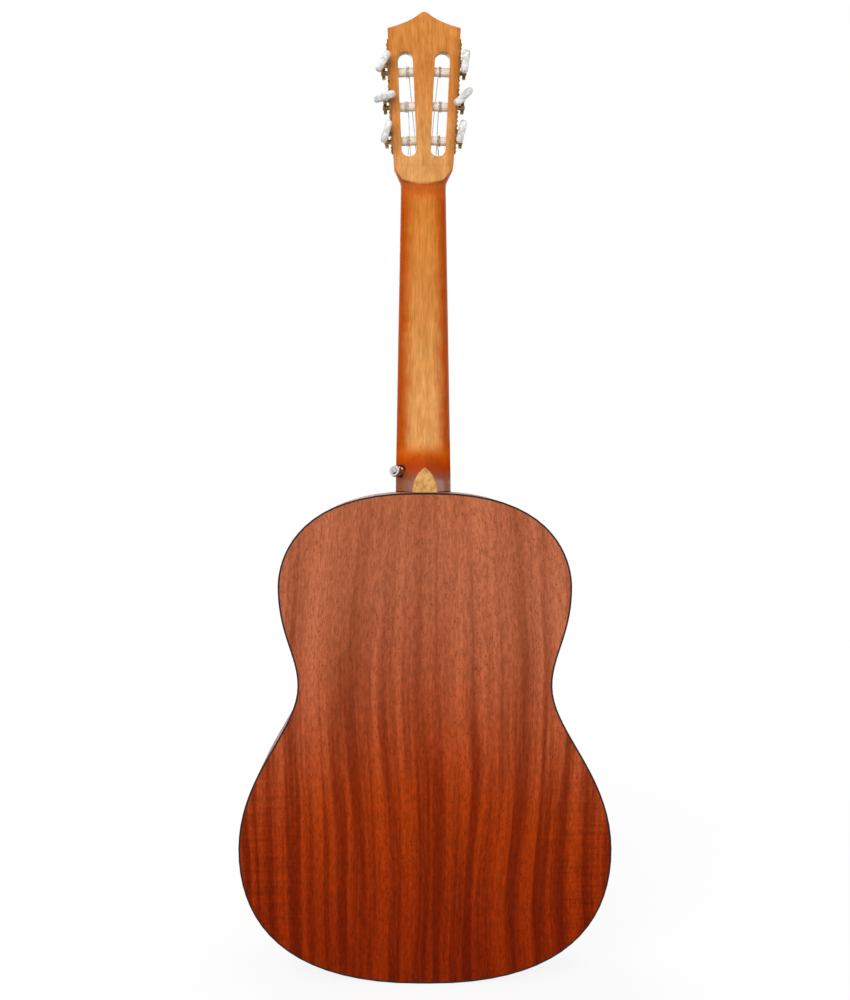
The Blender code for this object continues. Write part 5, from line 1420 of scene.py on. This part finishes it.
def makeStrapButton():
    shape = strapShape
    seat = moved(*shape["seat"]) @ Vector(shape["axis"]).to_track_quat("Z", "Y").to_matrix().to_4x4()
    screw = turned("strap_head", shape["screw"], 36)
    for turn in (shape["crossTurn"], shape["crossTurn"] + quarter):
        tool = raised(drawn("cross_tool", oblong(*shape["cross"])), *shape["crossCut"])
        carved(screw, seated(tool, spun(turn, "Z")))
    for piece, slotName, node in (
        (turned("strap_stud", shape["button"], 48), "chrome", "strap_button"),
        (turned("strap_felt", shape["washer"], 48), "black_felt", "strap_washer"),
        (screw, "chrome", "strap_screw"),
    ):
        smoothed(seated(piece, seat), 40)
        dressed(piece, slotName, node)


makeStrapButton()
print("strap button made")


# CAD pieces that stay as they are

for name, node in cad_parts.items():
    if node.hide_render:
        continue
    finish = finishes["bare_spruce"]
    if name.startswith(("gear_", "worm_shaft_")):
        finish = finishes["tuner_brass"]
    if name == "tail_strip":
        finish = finishes["black_binding"]
    for slot in node.material_slots:
        slot.material = finish
print("kept nodes dressed")


# Floor, light and camera

studio = {
    "floor": 0.40, "floorSize": 60, "floorDrop": 0.0004, "ambient": 0.58, "seen": 0.70, "glow": 1.24,
    "fade": (0.5, 2.5), "aim": (0, 0, 0.5),
    "lamps": (
        ("key", (0.75, 2.0, 1.30), 1.5, 36.0), ("fill", (-1.3, 1.8, 0.9), 1.4, 8.0),
        ("frontKey", (0.9, -1.9, 1.7), 1.5, 21.0), ("frontFill", (-1.5, -1.5, 0.8), 1.4, 9.0),
    ),
    "eye": (0.022, 1.1515, 0.514), "sensor": 36, "lens": 39.7, "shift": (0.022, -0.030),
}


def seenRay(tree):
    # What the eye sees, and what metal and glass show
    path = put(tree, "ShaderNodeLightPath", {}).outputs
    shiny = calc("MAXIMUM", path["Is Glossy Ray"], path["Is Transmission Ray"])
    return calc("MAXIMUM", path["Is Camera Ray"], shiny)


def makeFloor():
    bpy.ops.mesh.primitive_plane_add(size=studio["floorSize"], location=(0, 0, -studio["floorDrop"]))
    floor = named("floor")
    made, shader, place = newFinish("floorPale", {
        "Base Color": (studio["floor"],) * 3 + (1,), "Roughness": 0.9, "Specular IOR Level": 0.0,
    })
    tree = made.node_tree
    far = flow("ShaderNodeVectorMath", {0: place}, "Value", operation="LENGTH")
    white = ranged(far, *studio["fade"], studio["glow"], 1.0)
    share = times(seenRay(tree), ranged(far, *studio["fade"], studio["seen"], 1.0))
    glow = flow("ShaderNodeEmission", {"Color": (1, 1, 1, 1), "Strength": white})
    blend = flow("ShaderNodeMixShader", {0: share, 1: shader.outputs[0], 2: glow})
    fed(tree.nodes["Material Output"], {"Surface": blend})
    floor.data.materials.append(made)


def makeWorld():
    world = bpy.data.worlds.new("studio")
    bpy.context.scene.world = world
    world.use_nodes = True
    tree = world.node_tree
    strength = calc("MULTIPLY_ADD", seenRay(tree), 1 - studio["ambient"], studio["ambient"])
    fed(tree.nodes["Background"], {"Color": (1, 1, 1, 1), "Strength": strength})


def makeLamps():
    for label, spot, size, power in studio["lamps"]:
        bpy.ops.object.light_add(type="AREA", location=spot)
        lamp = named(label)
        lamp.data.size = size
        lamp.data.energy = power
        aim = Vector(studio["aim"]) - Vector(spot)
        lamp.rotation_euler = aim.to_track_quat("-Z", "Y").to_euler()
        # The lamps behind light the lacquer without a hazy mirror image of themselves
        lamp.visible_glossy = spot[1] < 0


def makeCamera():
    bpy.ops.object.camera_add(location=studio["eye"], rotation=(quarter, 0, math.pi))
    camera = named("camera")
    camera.data.sensor_width = studio["sensor"]
    camera.data.lens = studio["lens"]
    camera.data.shift_x, camera.data.shift_y = studio["shift"]
    bpy.context.scene.camera = camera


makeFloor()
makeWorld()
makeLamps()
makeCamera()
bpy.context.scene.view_settings.view_transform = "Standard"
print("stage, light and camera set")
